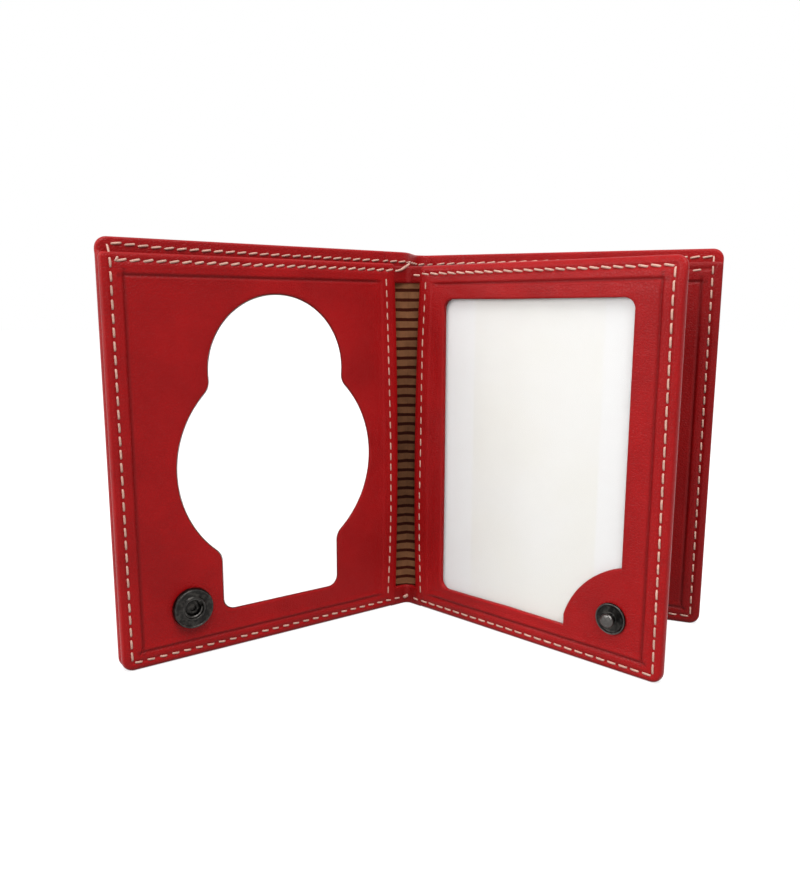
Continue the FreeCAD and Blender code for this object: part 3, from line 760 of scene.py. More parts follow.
@dataclass
class Sheet:
    """A leather sheet with rolled edges, a stitched valley and a creased line.

    Its finished face lies at a level of its leaf, and insets run inward from its outline. Seams
    and creases are given as their insets on the foot, far, top and near sides.
    """

    name: str
    leaf: Leaf
    outline: Outline
    level: float
    face: Face
    edge: float
    top_edge: float | None = None
    top_from: float = 96.5
    thickness: float = LEATHER
    opening: Callable[[np.ndarray], np.ndarray] | None = None
    creased: bool = True
    seams: tuple = (2.5, 2.5, 2.5, 2.5)
    creases: tuple = (4.2, 5.0, 5.0, 5.0)
    puff: float = 0.16
    puff_start: tuple = (0.3, 1.6)
    puff_end: tuple = (4.3, 6.2)
    wave: float = 0.05
    wave_start: tuple = (1.0, 5.0)
    wave_turns: tuple = (0.37, 0.21)
    valley_depth: float = 0.24
    valley_width: float = 0.55
    crease_depth: float = 0.30
    crease_width: float = 0.40
    crease_start: tuple = (3.0, 7.5)
    # Painted shade along the creased lines and on the foot
    dark_width: float = 0.42
    dark_from: float = 3.4
    foot_shade: tuple = (0.2, 1.3)
    roll: float = 0.62
    roll_steps: int = 15
    border_from: float = 0.8
    border: float = 6.4
    border_steps: int = 45
    inner_steps: int = 9
    middle_gap: float = 0.4
    hem_from: float = 1.2
    hem_step: float = 0.05
    opening_steps: int = 16
    flat_share: float = 0.9
    lip: float = 0.10
    lip_share: float = 0.93
    lip_round: float = 0.22
    lip_drop: float = 0.25
    lip_steps: int = 5
    curl: float = 0.0
    curl_height: float = 10.0
    curl_start: tuple = (1.0, 9.0)

    def lean_back(self, spots: np.ndarray) -> np.ndarray:
        """Return how far the top strip leans back at (along, height) spots, as a parabola."""
        up = np.clip((spots[:, 1] - self.outline.high) / self.curl_height + 1.0, 0.0, None)
        return self.curl * up ** 2 * step(spots[:, 0] - self.outline.near, *self.curl_start)

    def relief(self, loop: np.ndarray, inset: float) -> np.ndarray:
        """Add up a padded border and a faint wave, less the seam's valley and the creased line.

        Args:
            loop: a ring's points.
            inset: the ring's distance from the edge.

        Returns:
            How far the finished face stands out at each point.
        """
        rise = self.puff * step(inset, *self.puff_start) * (1.0 - step(inset, *self.puff_end))
        across, up = self.wave_turns
        wave = np.sin(loop[:, 0] * across + loop[:, 1] * up) * step(inset, *self.wave_start)
        valley = bell(inset - self.outline.spread(self.seams), self.valley_width)
        return (rise + self.wave * wave - self.valley_depth * valley
                - self.crease_depth * self.crease(loop, inset))

    def crease(self, loop: np.ndarray, inset: float) -> np.ndarray:
        """Draw the creased line as a bell curve across the inset, fading out near the fold.

        Args:
            loop: a ring's points.
            inset: the ring's distance from the edge.

        Returns:
            How much of the line lies at each point, from 0 to 1.
        """
        if not self.creased:
            return np.zeros(len(loop))
        band = step(loop[:, 0] - self.outline.near, *self.crease_start)
        return band * bell(inset - self.outline.spread(self.creases), self.crease_width)

    def edges(self) -> np.ndarray:
        """Return the edge's thickness round the sheet, which may be thinner along the top."""
        top = self.edge if self.top_edge is None else self.top_edge
        return np.where(self.outline.loop(0.0)[:, 1] > self.top_from, top, self.edge)

    def face_rings(self, deepest: float) -> list:
        """Roll the edge as half an ellipse from the back, then follow the relief inward.

        Args:
            deepest: the last ring's distance from the edge, past the stitched border.

        Returns:
            Rings, each as a loop and how far it lies behind the face.
        """
        edge = self.edges()
        rings = []
        for turn in np.linspace(math.pi, 0.0, self.roll_steps):
            loop = self.outline.loop(self.roll * (1.0 - math.sin(turn)))
            rings.append((loop, edge / 2 * (1.0 - math.cos(turn))))
        insets = np.linspace(self.border_from, self.border, self.border_steps)
        if deepest > self.border:
            inner = np.linspace(self.border, deepest, self.inner_steps)
            insets = np.concatenate([insets, inner[1:]])
        for inset in insets:
            loop = self.outline.loop(inset)
            rings.append((loop, -self.relief(loop, inset)))
        return rings

    def opening_rings(self, last: np.ndarray, base: np.ndarray) -> list:
        """Run straight from the border to the opening, and round its lip by a quarter circle.

        Args:
            last: the border's inner loop.
            base: how far that loop lies behind the face.

        Returns:
            Rings, each as a loop and how far it lies behind the face.
        """
        inner = self.opening(last)
        rings = []
        for t in np.linspace(0.0, 1.0, self.opening_steps)[1:]:
            inward = (base * (1.0 - step(t, 0.0, self.flat_share))
                      + self.lip * step(t, self.lip_share, 1.0))
            rings.append((last + (inner - last) * t, inward))
        way = unit(inner - last) * self.lip_round
        for turn in np.linspace(1.0 / self.lip_steps, 1.0, self.lip_steps) * math.pi / 2:
            drop = self.lip_drop * (1.0 - math.cos(turn))
            rings.append((inner + way * math.sin(turn), self.lip + drop))
        return [*rings, (inner + way, self.thickness)]

    def rings(self) -> list:
        """Add the turned hem at the back to the face's rings, and the opening or a plain back.

        Returns:
            Rings in order, each as a loop and how far it lies behind the face.
        """
        o, edge = self.outline, self.edges()
        hem = [(o.loop(HEM), self.thickness), (o.loop(HEM - self.hem_step), edge),
               (o.loop(self.hem_from), edge)]
        if self.opening is None:
            deepest = min(o.far - o.near, o.high - o.low) / 2 - self.middle_gap
            return [(o.loop(deepest), self.thickness), *hem, *self.face_rings(deepest)]
        face = self.face_rings(self.border)
        return [*face, *self.opening_rings(*face[-1]), *hem]

    def build(self, material: bpy.types.Material) -> bpy.types.Object:
        """Make the sheet's mesh from its rings.

        Args:
            material: the leather.

        Returns:
            The object, riding on its leaf.
        """
        edge = self.edges()
        points, dark = [], []
        for loop, inward in self.rings():
            free = 1.0 - np.clip(inward / edge, 0.0, 1.0)
            depth = self.level + self.face.value * (inward + free * self.lean_back(loop))
            points.append(self.leaf.place(loop[:, 0], depth, loop[:, 1]))
            dark.append(self.painted_shade(loop))
        rows, columns = len(points), len(points[0])
        faces = grid_faces(rows, columns, self.opening is not None).tolist()
        if self.opening is None:
            faces += end_faces(rows, columns).tolist()
        # The crease mark carries painted shade, on the foot and along the creased lines
        thing = build_mesh(self.name, np.stack(points), faces, material, crease=np.concatenate(dark))
        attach(thing, self.leaf.body)
        return thing

    def painted_shade(self, loop: np.ndarray) -> np.ndarray:
        """Paint shade on the foot, and along bell curves on the creased line's three sides.

        Args:
            loop: a ring's points.

        Returns:
            How much painted shade lies at each point, from 0 to 1.
        """
        o = self.outline
        along, height = loop.T
        # Painted shade on the foot's rolled edge, darkest at the ground
        foot = 1.0 - step(height - o.low, *self.foot_shade)
        if not self.creased:
            return foot
        shift = o.lean * (1.0 - height / (o.high - o.low))
        gaps = np.stack([height - o.low, o.far - along, o.high - height, along - o.near + shift])
        lines = bell(gaps - np.array(self.creases)[:, None], self.dark_width)[:3].max(axis=0)
        clear = gaps.min(axis=0) > self.dark_from
        return np.maximum(foot, lines * clear * step(gaps[3], *self.crease_start))

    def seam(self, row: Row, sunk: float = 0.06) -> "Seam":
        """Lay a row of stitches in its valley, on the finished face or behind it.

        Args:
            row: the row.
            sunk: depth of the seam's valley.

        Returns:
            The seam.
        """
        spots = np.array([(*spot, 0.0)[:3] for spot in row.spots], float)
        depth = self.level + self.face.value * (sunk + spots[:, 2] + self.lean_back(spots))
        path = self.leaf.place(spots[:, 0], depth, spots[:, 1])
        facing = self.face.value * (-1.0 if row.inside else 1.0)
        normal = unit(self.leaf.place(0.0, 0.0, 0.0) - self.leaf.place(0.0, facing, 0.0))
        return Seam(row.name, path, normal, row.slant, row.length, row.radius)


@dataclass
class Seam:
    """A row of slightly slanted thread stitches along a path in world metres."""

    name: str
    path: np.ndarray
    normal: np.ndarray
    slant: float = 3.0
    length: float = 2.7
    radius: float = 0.26
    pitch: float = STITCH_PITCH
    arch: float = 0.27
    sunk: float = 0.12
    dive: float = 0.20
    taper: float = 0.45
    flatness: float = 0.66
    rings: int = 11
    sides: int = 8

    def build(self, material: bpy.types.Material) -> bpy.types.Object:
        """Carry a flattened circle along each stitch, over a flat arch whose ends dive and taper.

        Args:
            material: the thread.

        Returns:
            All stitches as one object, not yet riding on a body.
        """
        spots, tangents = resample(self.path / MM, self.pitch)
        normals = np.broadcast_to(self.normal, spots.shape)
        a = math.radians(self.slant)
        along = tangents * math.cos(a) + np.cross(normals, tangents) * math.sin(a)
        across = np.cross(normals, along)
        t = np.linspace(-1.0, 1.0, self.rings)
        turn = np.linspace(0.0, 2.0 * math.pi, self.sides, endpoint=False)
        rise = self.arch * (1.0 - t ** 4) - self.sunk - self.dive * np.abs(t) ** 8
        girth = (self.radius * (1.0 - self.taper * np.abs(t) ** 5))[:, None]
        shares = (np.broadcast_to((t * self.length / 2)[:, None], (len(t), len(turn))),
                  girth * np.cos(turn), rise[:, None] + self.flatness * girth * np.sin(turn))
        points = spots[:, None, None, :] + sum(
            share[None, :, :, None] * way[:, None, None, :]
            for share, way in zip(shares, (along, across, normals)))
        count, rows, columns = points.shape[:3]
        starts = np.arange(count)[:, None, None] * rows * columns
        walls = (grid_faces(rows, columns, False) + starts).reshape(-1, 4)
        ends = (end_faces(rows, columns) + starts).reshape(-1, columns)
        return build_mesh(self.name, points * MM, walls.tolist() + ends.tolist(), material)


def rounded(profile: list, passes: int = 2, share: float = 0.22) -> np.ndarray:
    """Cut the corners of a closed profile, by a share of each side, so that it turns smoothly.

    Args:
        profile: the corners.
        passes: how often they are cut.
        share: how much of a side goes at either end.

    Returns:
        The points.
    """
    points = np.array(profile, float)
    for _ in range(passes):
        after = np.roll(points, -1, axis=0)
        ends = [(1.0 - share) * points + share * after, share * points + (1.0 - share) * after]
        points = np.stack(ends, 1).reshape(-1, 2)
    return points


def plan_left(path: np.ndarray) -> np.ndarray:
    """Return the directions to the left of a plan path."""
    ahead = unit(np.gradient(path, axis=0))
    return np.stack([-ahead[:, 1], ahead[:, 0]], -1)


def strip(name: str, path: np.ndarray, thickness: float, low: float, high: float,
          material: bpy.types.Material, rows: int = 24, arc_steps: int = 9) -> bpy.types.Object:
    """Sweep an upright section, two flat faces joined by half circles, along a plan path.

    Args:
        name: the object's name.
        path: plan points of the strip's middle, in millimetres.
        thickness: of the strip.
        low: foot of the strip.
        high: top of the strip.
        material: the finish.
        rows: steps up each face.
        arc_steps: points on each half circle.

    Returns:
        The object, not yet riding on a body.
    """
    half = thickness / 2
    turn = np.linspace(0.0, math.pi, arc_steps)[1:-1]
    rise = np.linspace(low + half, high - half, rows)
    offset = np.concatenate([np.full(rows, half), half * np.cos(turn)])
    offset = np.concatenate([offset, -offset])
    z = np.concatenate([rise, high - half + half * np.sin(turn), rise[::-1],
                        low + half - half * np.sin(turn)])
    plan = path[:, None, :] + plan_left(path)[:, None, :] * offset[None, :, None]
    points = np.concatenate([plan, np.broadcast_to(z[None, :, None], (*plan.shape[:2], 1))], -1)
    count, columns = points.shape[:2]
    faces = grid_faces(count, columns, False).tolist() + end_faces(count, columns).tolist()
    return build_mesh(name, points * MM, faces, material)


def fillet_path(corners: np.ndarray, radii: tuple, spacing: float = 0.35,
                arc_steps: int = 24) -> np.ndarray:
    """Run through corners, with an arc at each inner one that touches both its runs.

    Args:
        corners: plan points.
        radii: the arc's radius at each inner corner.
        spacing: distance between the path's points.
        arc_steps: points on each arc.

    Returns:
        The path's points.
    """
    pieces = [corners[:1]]
    for before, corner, after, radius in zip(corners, corners[1:], corners[2:], radii):
        back, ahead = unit(before - corner), unit(after - corner)
        half = math.acos(float(np.clip(back @ ahead, -1, 1))) / 2
        centre = corner + unit(back + ahead) * radius / math.sin(half)
        start, stop = (corner + way * radius / math.tan(half) - centre for way in (back, ahead))
        sweep = math.atan2(start[0] * stop[1] - start[1] * stop[0], float(start @ stop))
        turn = np.linspace(0.0, sweep, arc_steps)[:, None]
        side = np.array([-start[1], start[0]])
        pieces.append(centre + start * np.cos(turn) + side * np.sin(turn))
    path, _ = resample(np.concatenate([*pieces, corners[-1:]]), spacing)
    return np.concatenate([corners[:1], path, corners[-1:]])


@dataclass
class Wallet:
    """The frame's places and the finishes that every sub-assembly shares."""

    finishes: Finishes
    nodes: dict
    badge_leaf: Leaf
    flap: Leaf
    rear: Leaf
    first_bend: np.ndarray
    second_bend: np.ndarray
    cover_start: float = 4.4
    cover_corner: float = 0.4
    cover_top_edge: float = 1.5
    cover_seam: float = 2.5
    cover_seam_start: float = 6.5
    lining_start: float = 5.6

    def paint(self, node: str, material: bpy.types.Material) -> None:
        """Give a CAD node its finish."""
        self.nodes[node].data.materials.clear()
        self.nodes[node].data.materials.append(material)

    def points(self, node: str) -> np.ndarray:
        """Read a CAD node's vertices.

        Args:
            node: its name.

        Returns:
            The vertices in world metres.
        """
        mesh = self.nodes[node].data
        flat = np.empty(len(mesh.vertices) * 3)
        mesh.vertices.foreach_get("co", flat)
        world = np.array(self.nodes[node].matrix_world, float)
        return flat.reshape(-1, 3) @ world[:3, :3].T + world[:3, 3]

    def cover(self, node: str, leaf: Leaf, width: float, level: float, edge: float) -> Sheet:
        """Make a leaf's outer cover, with a seam round its three free sides.

        Args:
            node: the CAD cover that it stands for.
            leaf: the leaf that carries it.
            width: of the leaf.
            level: depth of the cover's outer face.
            edge: thickness of the turned edge.

        Returns:
            The cover's sheet.
        """
        corners = (self.cover_corner, CORNER, CORNER, self.cover_corner)
        outline = Outline(self.cover_start, width, 0.0, COVER_HEIGHT, corners)
        sheet = Sheet(node + "_leather", leaf, outline, level, Face.BACK, edge,
                      self.cover_top_edge, creased=False)
        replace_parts(sheet.build(self.finishes.leather), node)
        near, far = self.cover_seam_start, width - self.cover_seam
        low, high = self.cover_seam, COVER_HEIGHT - self.cover_seam
        self.sew(sheet, Row(node + "_stitches", [(near, low), (far, low), (far, high), (near, high)]))
        return sheet

    def lay_lining(self, node: str, leaf: Leaf, cover: str, steps: int = 60) -> None:
        """Lay a cover's lining as cloth that stops short of the spine's bend.

        Args:
            node: the CAD lining that the cloth stands for.
            leaf: the leaf that it lies on.
            cover: the CAD node that it rests on; not used.
            steps: points along the cloth.
        """
        spots = leaf.local(self.points(node))
        low, high = spots.min(axis=0), spots.max(axis=0)
        along = np.linspace(self.lining_start, high[0], steps)
        path = leaf.plan(along, (low[1] + high[1]) / 2)
        cloth = strip(node + "_cloth", path, high[1] - low[1], low[2], high[2], self.finishes.lining)
        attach(cloth, leaf.body)
        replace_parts(cloth, node)
        flat = ((high[0] - self.lining_start) * MM, (high[2] - low[2]) * MM)

    def stitch(self, seam: Seam, body: str) -> None:
        """Sew a seam that rides on one body.

        Args:
            seam: the seam.
            body: the body's name.
        """
        thing = seam.build(self.finishes.thread)
        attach(thing, body)

    def sew(self, sheet: Sheet, *rows: Row) -> None:
        """Sew rows of stitches into a sheet."""
        for row in rows:
            self.stitch(sheet.seam(row), sheet.leaf.body)

    def turn_snap(self, name: str, node: str, leaf: Leaf, profile: list, rubbed: tuple,
                  turns: int = 96) -> None:
        """Turn a closed profile of (radius, height above the leather) about the snap's axis.

        Args:
            name: the object's name.
            node: the CAD node that it stands for.
            leaf: the leaf that carries it.
            profile: corners of the section, which are then rounded.
            rubbed: heights above the leather between which the metal turns brighter.
            turns: steps round the axis.
        """
        section = rounded(profile)
        angle = np.linspace(0.0, 2.0 * math.pi, turns, endpoint=False)
        radius, rise = section.T[:, :, None]
        points = leaf.place(SNAP[0] + radius * np.cos(angle), FOLD_RADIUS - rise,
                            SNAP[1] + radius * np.sin(angle))
        faces = grid_faces(len(section), turns, True).tolist()
        # A brighter base colour on the higher parts of the snap
        wear = np.repeat(step(section[:, 1], *rubbed), turns)
        thing = build_mesh(name, points, faces, self.finishes.metal, rubbed=wear)
        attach(thing, leaf.body)
        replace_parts(thing, node)


@dataclass
class BadgeLeaf:
    """Left leaf: cover, badge panel, badge plate and snap socket."""

    wallet: Wallet
    width: float = 80.5
    setback: float = 3.2
    panel_edge: float = 2.3
    cover_edge: float = 2.2
    seams: tuple = (2.1, 2.2, 1.8, NO_SEAM)
    corners: tuple = (1.0, CORNER, 1.2, 0.8)
    lean: float = 0.5
    bow: float = 0.95
    badge_middle: tuple = (38.6, 46.0)
    badge_margin: float = 0.45
    sectors: int = 720
    edge_samples: int = 240
    least_reach: float = 1.0

    def badge_edge(self, loop: np.ndarray) -> np.ndarray:
        """Find the badge plate's farthest edge in each direction, and step just outside it.

        Args:
            loop: a ring of the panel.

        Returns:
            The opening's points, in the directions of the ring's.
        """
        mesh = self.wallet.nodes["badge_blank"].data
        spots = self.wallet.badge_leaf.local(self.wallet.points("badge_blank"))
        centre = np.array(self.badge_middle)
        links = np.empty(len(mesh.edges) * 2, int)
        mesh.edges.foreach_get("vertices", links)
        ends = spots[:, [0, 2]][links.reshape(-1, 2)]
        share = np.linspace(0.0, 1.0, self.edge_samples)[:, None, None]
        rays = (ends[None, :, 0] * (1.0 - share) + ends[None, :, 1] * share).reshape(-1, 2) - centre
        angle = np.arctan2(rays[:, 1], rays[:, 0])
        sector = (angle + math.pi) / (2.0 * math.pi) * self.sectors
        widest = np.zeros(self.sectors)
        np.maximum.at(widest, np.floor(sector).astype(int) % self.sectors, np.linalg.norm(rays, axis=1))
        angle = (np.arange(self.sectors) + 0.5) / self.sectors * 2.0 * math.pi - math.pi
        found = widest > self.least_reach
        want = loop - centre
        direction = np.arctan2(want[:, 1], want[:, 0])
        radius = np.interp(direction, angle[found], widest[found], period=2.0 * math.pi)
        return centre + (radius + self.badge_margin)[:, None] * spokes(direction)

    def build_panel(self) -> None:
        """Make the panel round the badge, and its seams."""
        w = self.wallet
        outline = Outline(self.setback, self.width, 0.0, PANEL_TOP, self.corners, self.lean, self.bow)
        panel = Sheet("badge_panel_leather", w.badge_leaf, outline, FOLD_RADIUS, Face.FRONT,
                      self.panel_edge, opening=self.badge_edge, seams=self.seams)
        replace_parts(panel.build(w.finishes.leather), "badge_panel")
        foot, side, top, _ = self.seams
        far, high = self.width - side, PANEL_TOP - top
        w.sew(panel,
              Row("badge_panel_far_stitches", [(far, 2.2), (far, 95.2), (far, 98.4, 1.55)], 2.0, 2.5),
              Row("badge_panel_foot_stitches", [(far, foot), (0.9, foot)], -6.0, 2.05),
              Row("badge_panel_top_stitches", [(far - 1.0, high), (0.7, high)], 12.0, 2.7),
              Row("badge_panel_knot_stitches", [(far - 0.9, 95.0), (far - 1.9, 95.0)], 60.0, 1.5),
              Row("badge_panel_near_stitches", [(6.35, 93.0), (5.6, 75), (4.75, 46), (4.7, 29),
                                                (5.0, 17), (5.7, 3.8)], 2.0, 2.85))

    def build_socket(self) -> None:
        """Make the snap socket with its dished ring, and finish its spring and rivet."""
        w = self.wallet
        profile = [(0.02, 0.0), (5.0, 0.0), (5.05, 0.9), (4.9, 1.5), (4.7, 1.74), (4.5, 1.72),
                   (4.3, 1.56), (3.2, 1.44), (3.0, 1.58), (2.7, 1.78), (2.4, 1.62), (2.35, 1.15),
                   (2.95, 1.15), (2.95, 0.14), (0.02, 0.14)]
        w.turn_snap("snap_socket_ring", "snap_socket", w.badge_leaf, profile, (1.60, 2.00))
        w.paint("snap_spring", w.finishes.spring)
        w.paint("socket_rivet", w.finishes.metal)

    def build(self) -> None:
        """Make the leaf's pieces."""
        w = self.wallet
        self.build_panel()
        cover = w.cover("cover_left", w.badge_leaf, self.width, COVER_LEVEL, self.cover_edge)
        top = [(77.4, 98.6, 1.44), (66, 97.95, 1.44), (40, 97.6, 1.44), (6.2, 97.35, 1.44)]
        w.sew(cover, Row("cover_left_top_stitches", top, 10.0, inside=True))
        self.build_socket()
        w.lay_lining("cover_left_lining", w.badge_leaf, "cover_left")
        w.paint("badge_lining", w.finishes.lining)
        w.paint("badge_backing", w.finishes.board)
        w.paint("badge_blank", w.finishes.enamel)


@dataclass
class CardFlap:
    """Middle flap: framed window with film and card, and the snap stud."""

    wallet: Wallet
    width: float = 76.3
    setback: float = 2.6
    front_edge: float = 2.4
    seams: tuple = (1.9, 2.25, 2.2, NO_SEAM)
    far_seam: float = 2.0
    lean: float = 0.9
    bow: float = 1.2
    curl: float = 1.1
    back_short: float = 0.8
    back_level: float = FOLD_RADIUS + 3.4
    back_leather: float = 1.0
    back_puff: float = 0.08
    corners: tuple = (0.8, CORNER, CORNER, 0.8)
    window: tuple = (11.1, 65.5, 7.4, 87.2)
    window_corner: float = 2.5
    ear: tuple = (14.8, 17.8, 22.0, 3.0)
    ear_steps: int = 120
    ear_side_steps: int = 20

    def window_edge(self, loop: np.ndarray) -> np.ndarray:
        """Draw the window as a rounded rectangle, with an arc round the stud at its far foot.

        Args:
            loop: a ring of the flap, which has as many points; not used.

        Returns:
            The window's points that match the ring's.
        """
        left, right, low, high = self.window
        wide, tall, radius, side = self.ear
        edge = Outline(left, right, low, high, (self.window_corner,) * 4).loop(0.0)
        foot = np.array([right - wide, low + side])
        head = np.array([right, low + tall])
        chord = head - foot
        out = unit(np.array([chord[1], -chord[0]]))
        centre = (foot + head) / 2 + out * math.sqrt(radius ** 2 - (chord @ chord) / 4)
        start, stop = (math.atan2(*(end - centre)[::-1]) for end in (foot, head))
        arc = centre + radius * spokes(np.linspace(start, stop, self.ear_steps))
        rise = np.linspace((foot[0], low), foot, self.ear_side_steps)
        ear = np.concatenate([rise[:-1], arc])
        cut = (edge[:, 0] > foot[0]) & (edge[:, 1] < head[1])
        edge[cut] = walk(ear, np.linspace(0.0, distances(ear)[-1], int(cut.sum())))
        return edge

    def build_front(self) -> None:
        """Make the frame round the window, and its seams."""
        w = self.wallet
        outline = Outline(self.setback, self.width, 0.0, PANEL_HEIGHT, self.corners, self.lean, self.bow)
        front = Sheet("flap_front_leather", w.flap, outline, FOLD_RADIUS, Face.FRONT, self.front_edge,
                      opening=self.window_edge, seams=self.seams, curl=self.curl)
        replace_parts(front.build(w.finishes.leather), "flap_front")
        foot, _, top, _ = self.seams
        far, high = self.width - self.far_seam, PANEL_HEIGHT - top
        w.sew(front,
              Row("flap_front_far_stitches", [(far, 2.0), (far - 0.4, 86), (far - 0.42, 90),
                                              (far - 0.45, high)], 2.0, 2.7),
              Row("flap_front_foot_stitches", [(0.7, foot), (far, foot)], -2.0, 2.5),
              Row("flap_front_top_stitches", [(0.2, 93.4), (4.5, high), (far - 0.45, high)], -10.0),
              Row("flap_front_near_stitches", [(5.05, 92.2), (4.0, 75), (3.6, 46), (3.3, 29),
                                               (3.45, 17), (4.0, 3.8)], 2.0, 2.85))

    def build_back(self) -> None:
        """Make the flap's back, with a seam round it."""
        w = self.wallet
        outline = Outline(self.setback, self.width - self.back_short, 0.0, PANEL_HEIGHT, self.corners)
        back = Sheet("flap_back_leather", w.flap, outline, self.back_level, Face.BACK,
                     self.back_leather, thickness=self.back_leather, creased=False, puff=self.back_puff)
        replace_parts(back.build(w.finishes.leather), "flap_back")
        near, far, low, high = 5.0, self.width - 3.3, 2.6, 93.8
        spots = [(near, low), (far, low), (far, high), (near, high), (near, low)]
        w.sew(back, Row("flap_back_stitches", spots))

    def build(self) -> None:
        """Make the flap's pieces."""
        w = self.wallet
        self.build_front()
        self.build_back()
        profile = [(1.0, 0.0), (3.78, 0.0), (3.82, 0.4), (3.74, 0.68), (3.58, 0.78), (3.4, 0.68),
                   (3.15, 0.32), (1.5, 0.26), (1.22, 0.42), (1.22, 1.3), (1.52, 1.62), (1.68, 1.92),
                   (1.64, 2.22), (1.45, 2.46), (1.1, 2.64), (0.6, 2.74), (0.02, 2.76), (0.02, 2.1),
                   (1.0, 2.1)]
        w.turn_snap("snap_stud_cap", "snap_stud", w.flap, profile, (0.50, 0.90))
        w.paint("stud_rivet", w.finishes.metal)
        w.paint("window_film", w.finishes.film)
        w.paint("id_card", CardFinish("card_stock", w.flap.fold, w.flap.turn).build())


@dataclass
class Fold:
    """The flap's fold: two leather bridges over a striped lining."""

    wallet: Wallet
    bridge_tails: tuple = (4.2, 3.6)
    lining_tails: tuple = (4.0, 3.4)
    top_from: float = 91.4
    foot_to: float = 5.5
    lining_inset: float = 1.0
    lining_spacing: float = 0.12
    lining_pull: float = 0.28
    pull_start: tuple = (0.05, 0.4)
    pull_end: tuple = (0.6, 0.95)
    lining_pinch: float = 0.22
    pinch_width: float = 0.035
    tail_steps: int = 10
    arc_steps: int = 30
    bend_reach: tuple = (2.4, 2.0)

    def path(self, radius: float, tails: tuple) -> np.ndarray:
        """Run round the fold's axis in an arc, with a flat tail along each leaf.

        Args:
            radius: of the arc.
            tails: lengths of the tails along the badge leaf and the flap.

        Returns:
            Plan points in millimetres.
        """
        a, b = self.wallet.badge_leaf, self.wallet.flap
        head = a.plan(np.linspace(tails[0], 0.0, self.tail_steps), radius)
        tail = b.plan(np.linspace(0.0, tails[1], self.tail_steps), radius)
        turn = np.radians(np.linspace(90.0 + a.turn, 90.0 + b.turn, self.arc_steps))[1:-1]
        return np.concatenate([head, np.array(a.fold) + radius * spokes(turn), tail])

    def lining_path(self) -> np.ndarray:
        """Draw the lining part of the way to its chord, with a soft crease in its middle.

        Returns:
            Plan points in millimetres.
        """
        radius = FOLD_RADIUS + LEATHER + LINING / 2
        path, _ = resample(self.path(radius, self.lining_tails), self.lining_spacing)
        t = np.linspace(0.0, 1.0, len(path))
        chord = path[:1] + (path[-1:] - path[:1]) * t[:, None]
        share = self.lining_pull * step(t, *self.pull_start) * (1.0 - step(t, *self.pull_end))
        flat = path + (chord - path) * share[:, None]
        flat[:, 1] += self.lining_pinch * np.exp(-np.abs(t - 0.5) / self.pinch_width)
        return flat

    def build_thread_ends(self) -> None:
        """Make the thread that steps from the fold's top to the cover, and the knot at its foot."""
        leaf = self.wallet.badge_leaf
        out = unit(leaf.place(0.0, -1.0, 0.0) - leaf.place(0.0, 0.0, 0.0))
        ends = (("fold_top_thread", [(1.9, 1.2, 94.8), (-2.0, 2.0, 96.8)], 4.6, 0.36),
                ("fold_foot_knot", [(0.2, 1.3, 2.0), (-1.2, 1.3, 2.4)], 1.7, 0.50))
        for name, spots, length, radius in ends:
            path = leaf.place(*np.array(spots).T)
            whole = float(distances(path / MM)[-1])
            self.wallet.stitch(Seam(name, path, out, 0.0, length, radius, whole), "badge_leaf")

    def bend(self, thing: bpy.types.Object) -> None:
        """Bake a piece's place into its mesh.

        Args:
            thing: the piece.
        """
        start = self.wallet.badge_leaf.place(self.bend_reach[0], FOLD_RADIUS, MID_HEIGHT)
        end = self.wallet.flap.place(self.bend_reach[1], FOLD_RADIUS, MID_HEIGHT)
        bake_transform(thing)

    def build(self) -> None:
        """Make the fold's pieces."""
        # The bridges take the darker leather, as painted shade in the fold
        leather = self.wallet.finishes.shaded_leather
        round_fold = self.path(FOLD_RADIUS + LEATHER / 2, self.bridge_tails)
        top = strip("top_bridge_leather", round_fold, LEATHER, self.top_from, PANEL_HEIGHT, leather)
        foot = strip("bottom_bridge_leather", round_fold, LEATHER, 0.0, self.foot_to, leather)
        plan = self.lining_path()
        low, high = self.lining_inset, PANEL_HEIGHT - self.lining_inset
        lining = strip("fold_lining_cloth", plan, LINING, low, high, self.wallet.finishes.striped)
        flat = (float(distances(plan)[-1]) * MM, (high - low) * MM)
        for thing, node, slot in ((top, "top_bridge", "leather_red"),
                                  (foot, "bottom_bridge", "leather_red"),
                                  (lining, "fold_lining", "striped_lining")):
            self.bend(thing)
            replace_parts(thing, node)
        self.build_thread_ends()


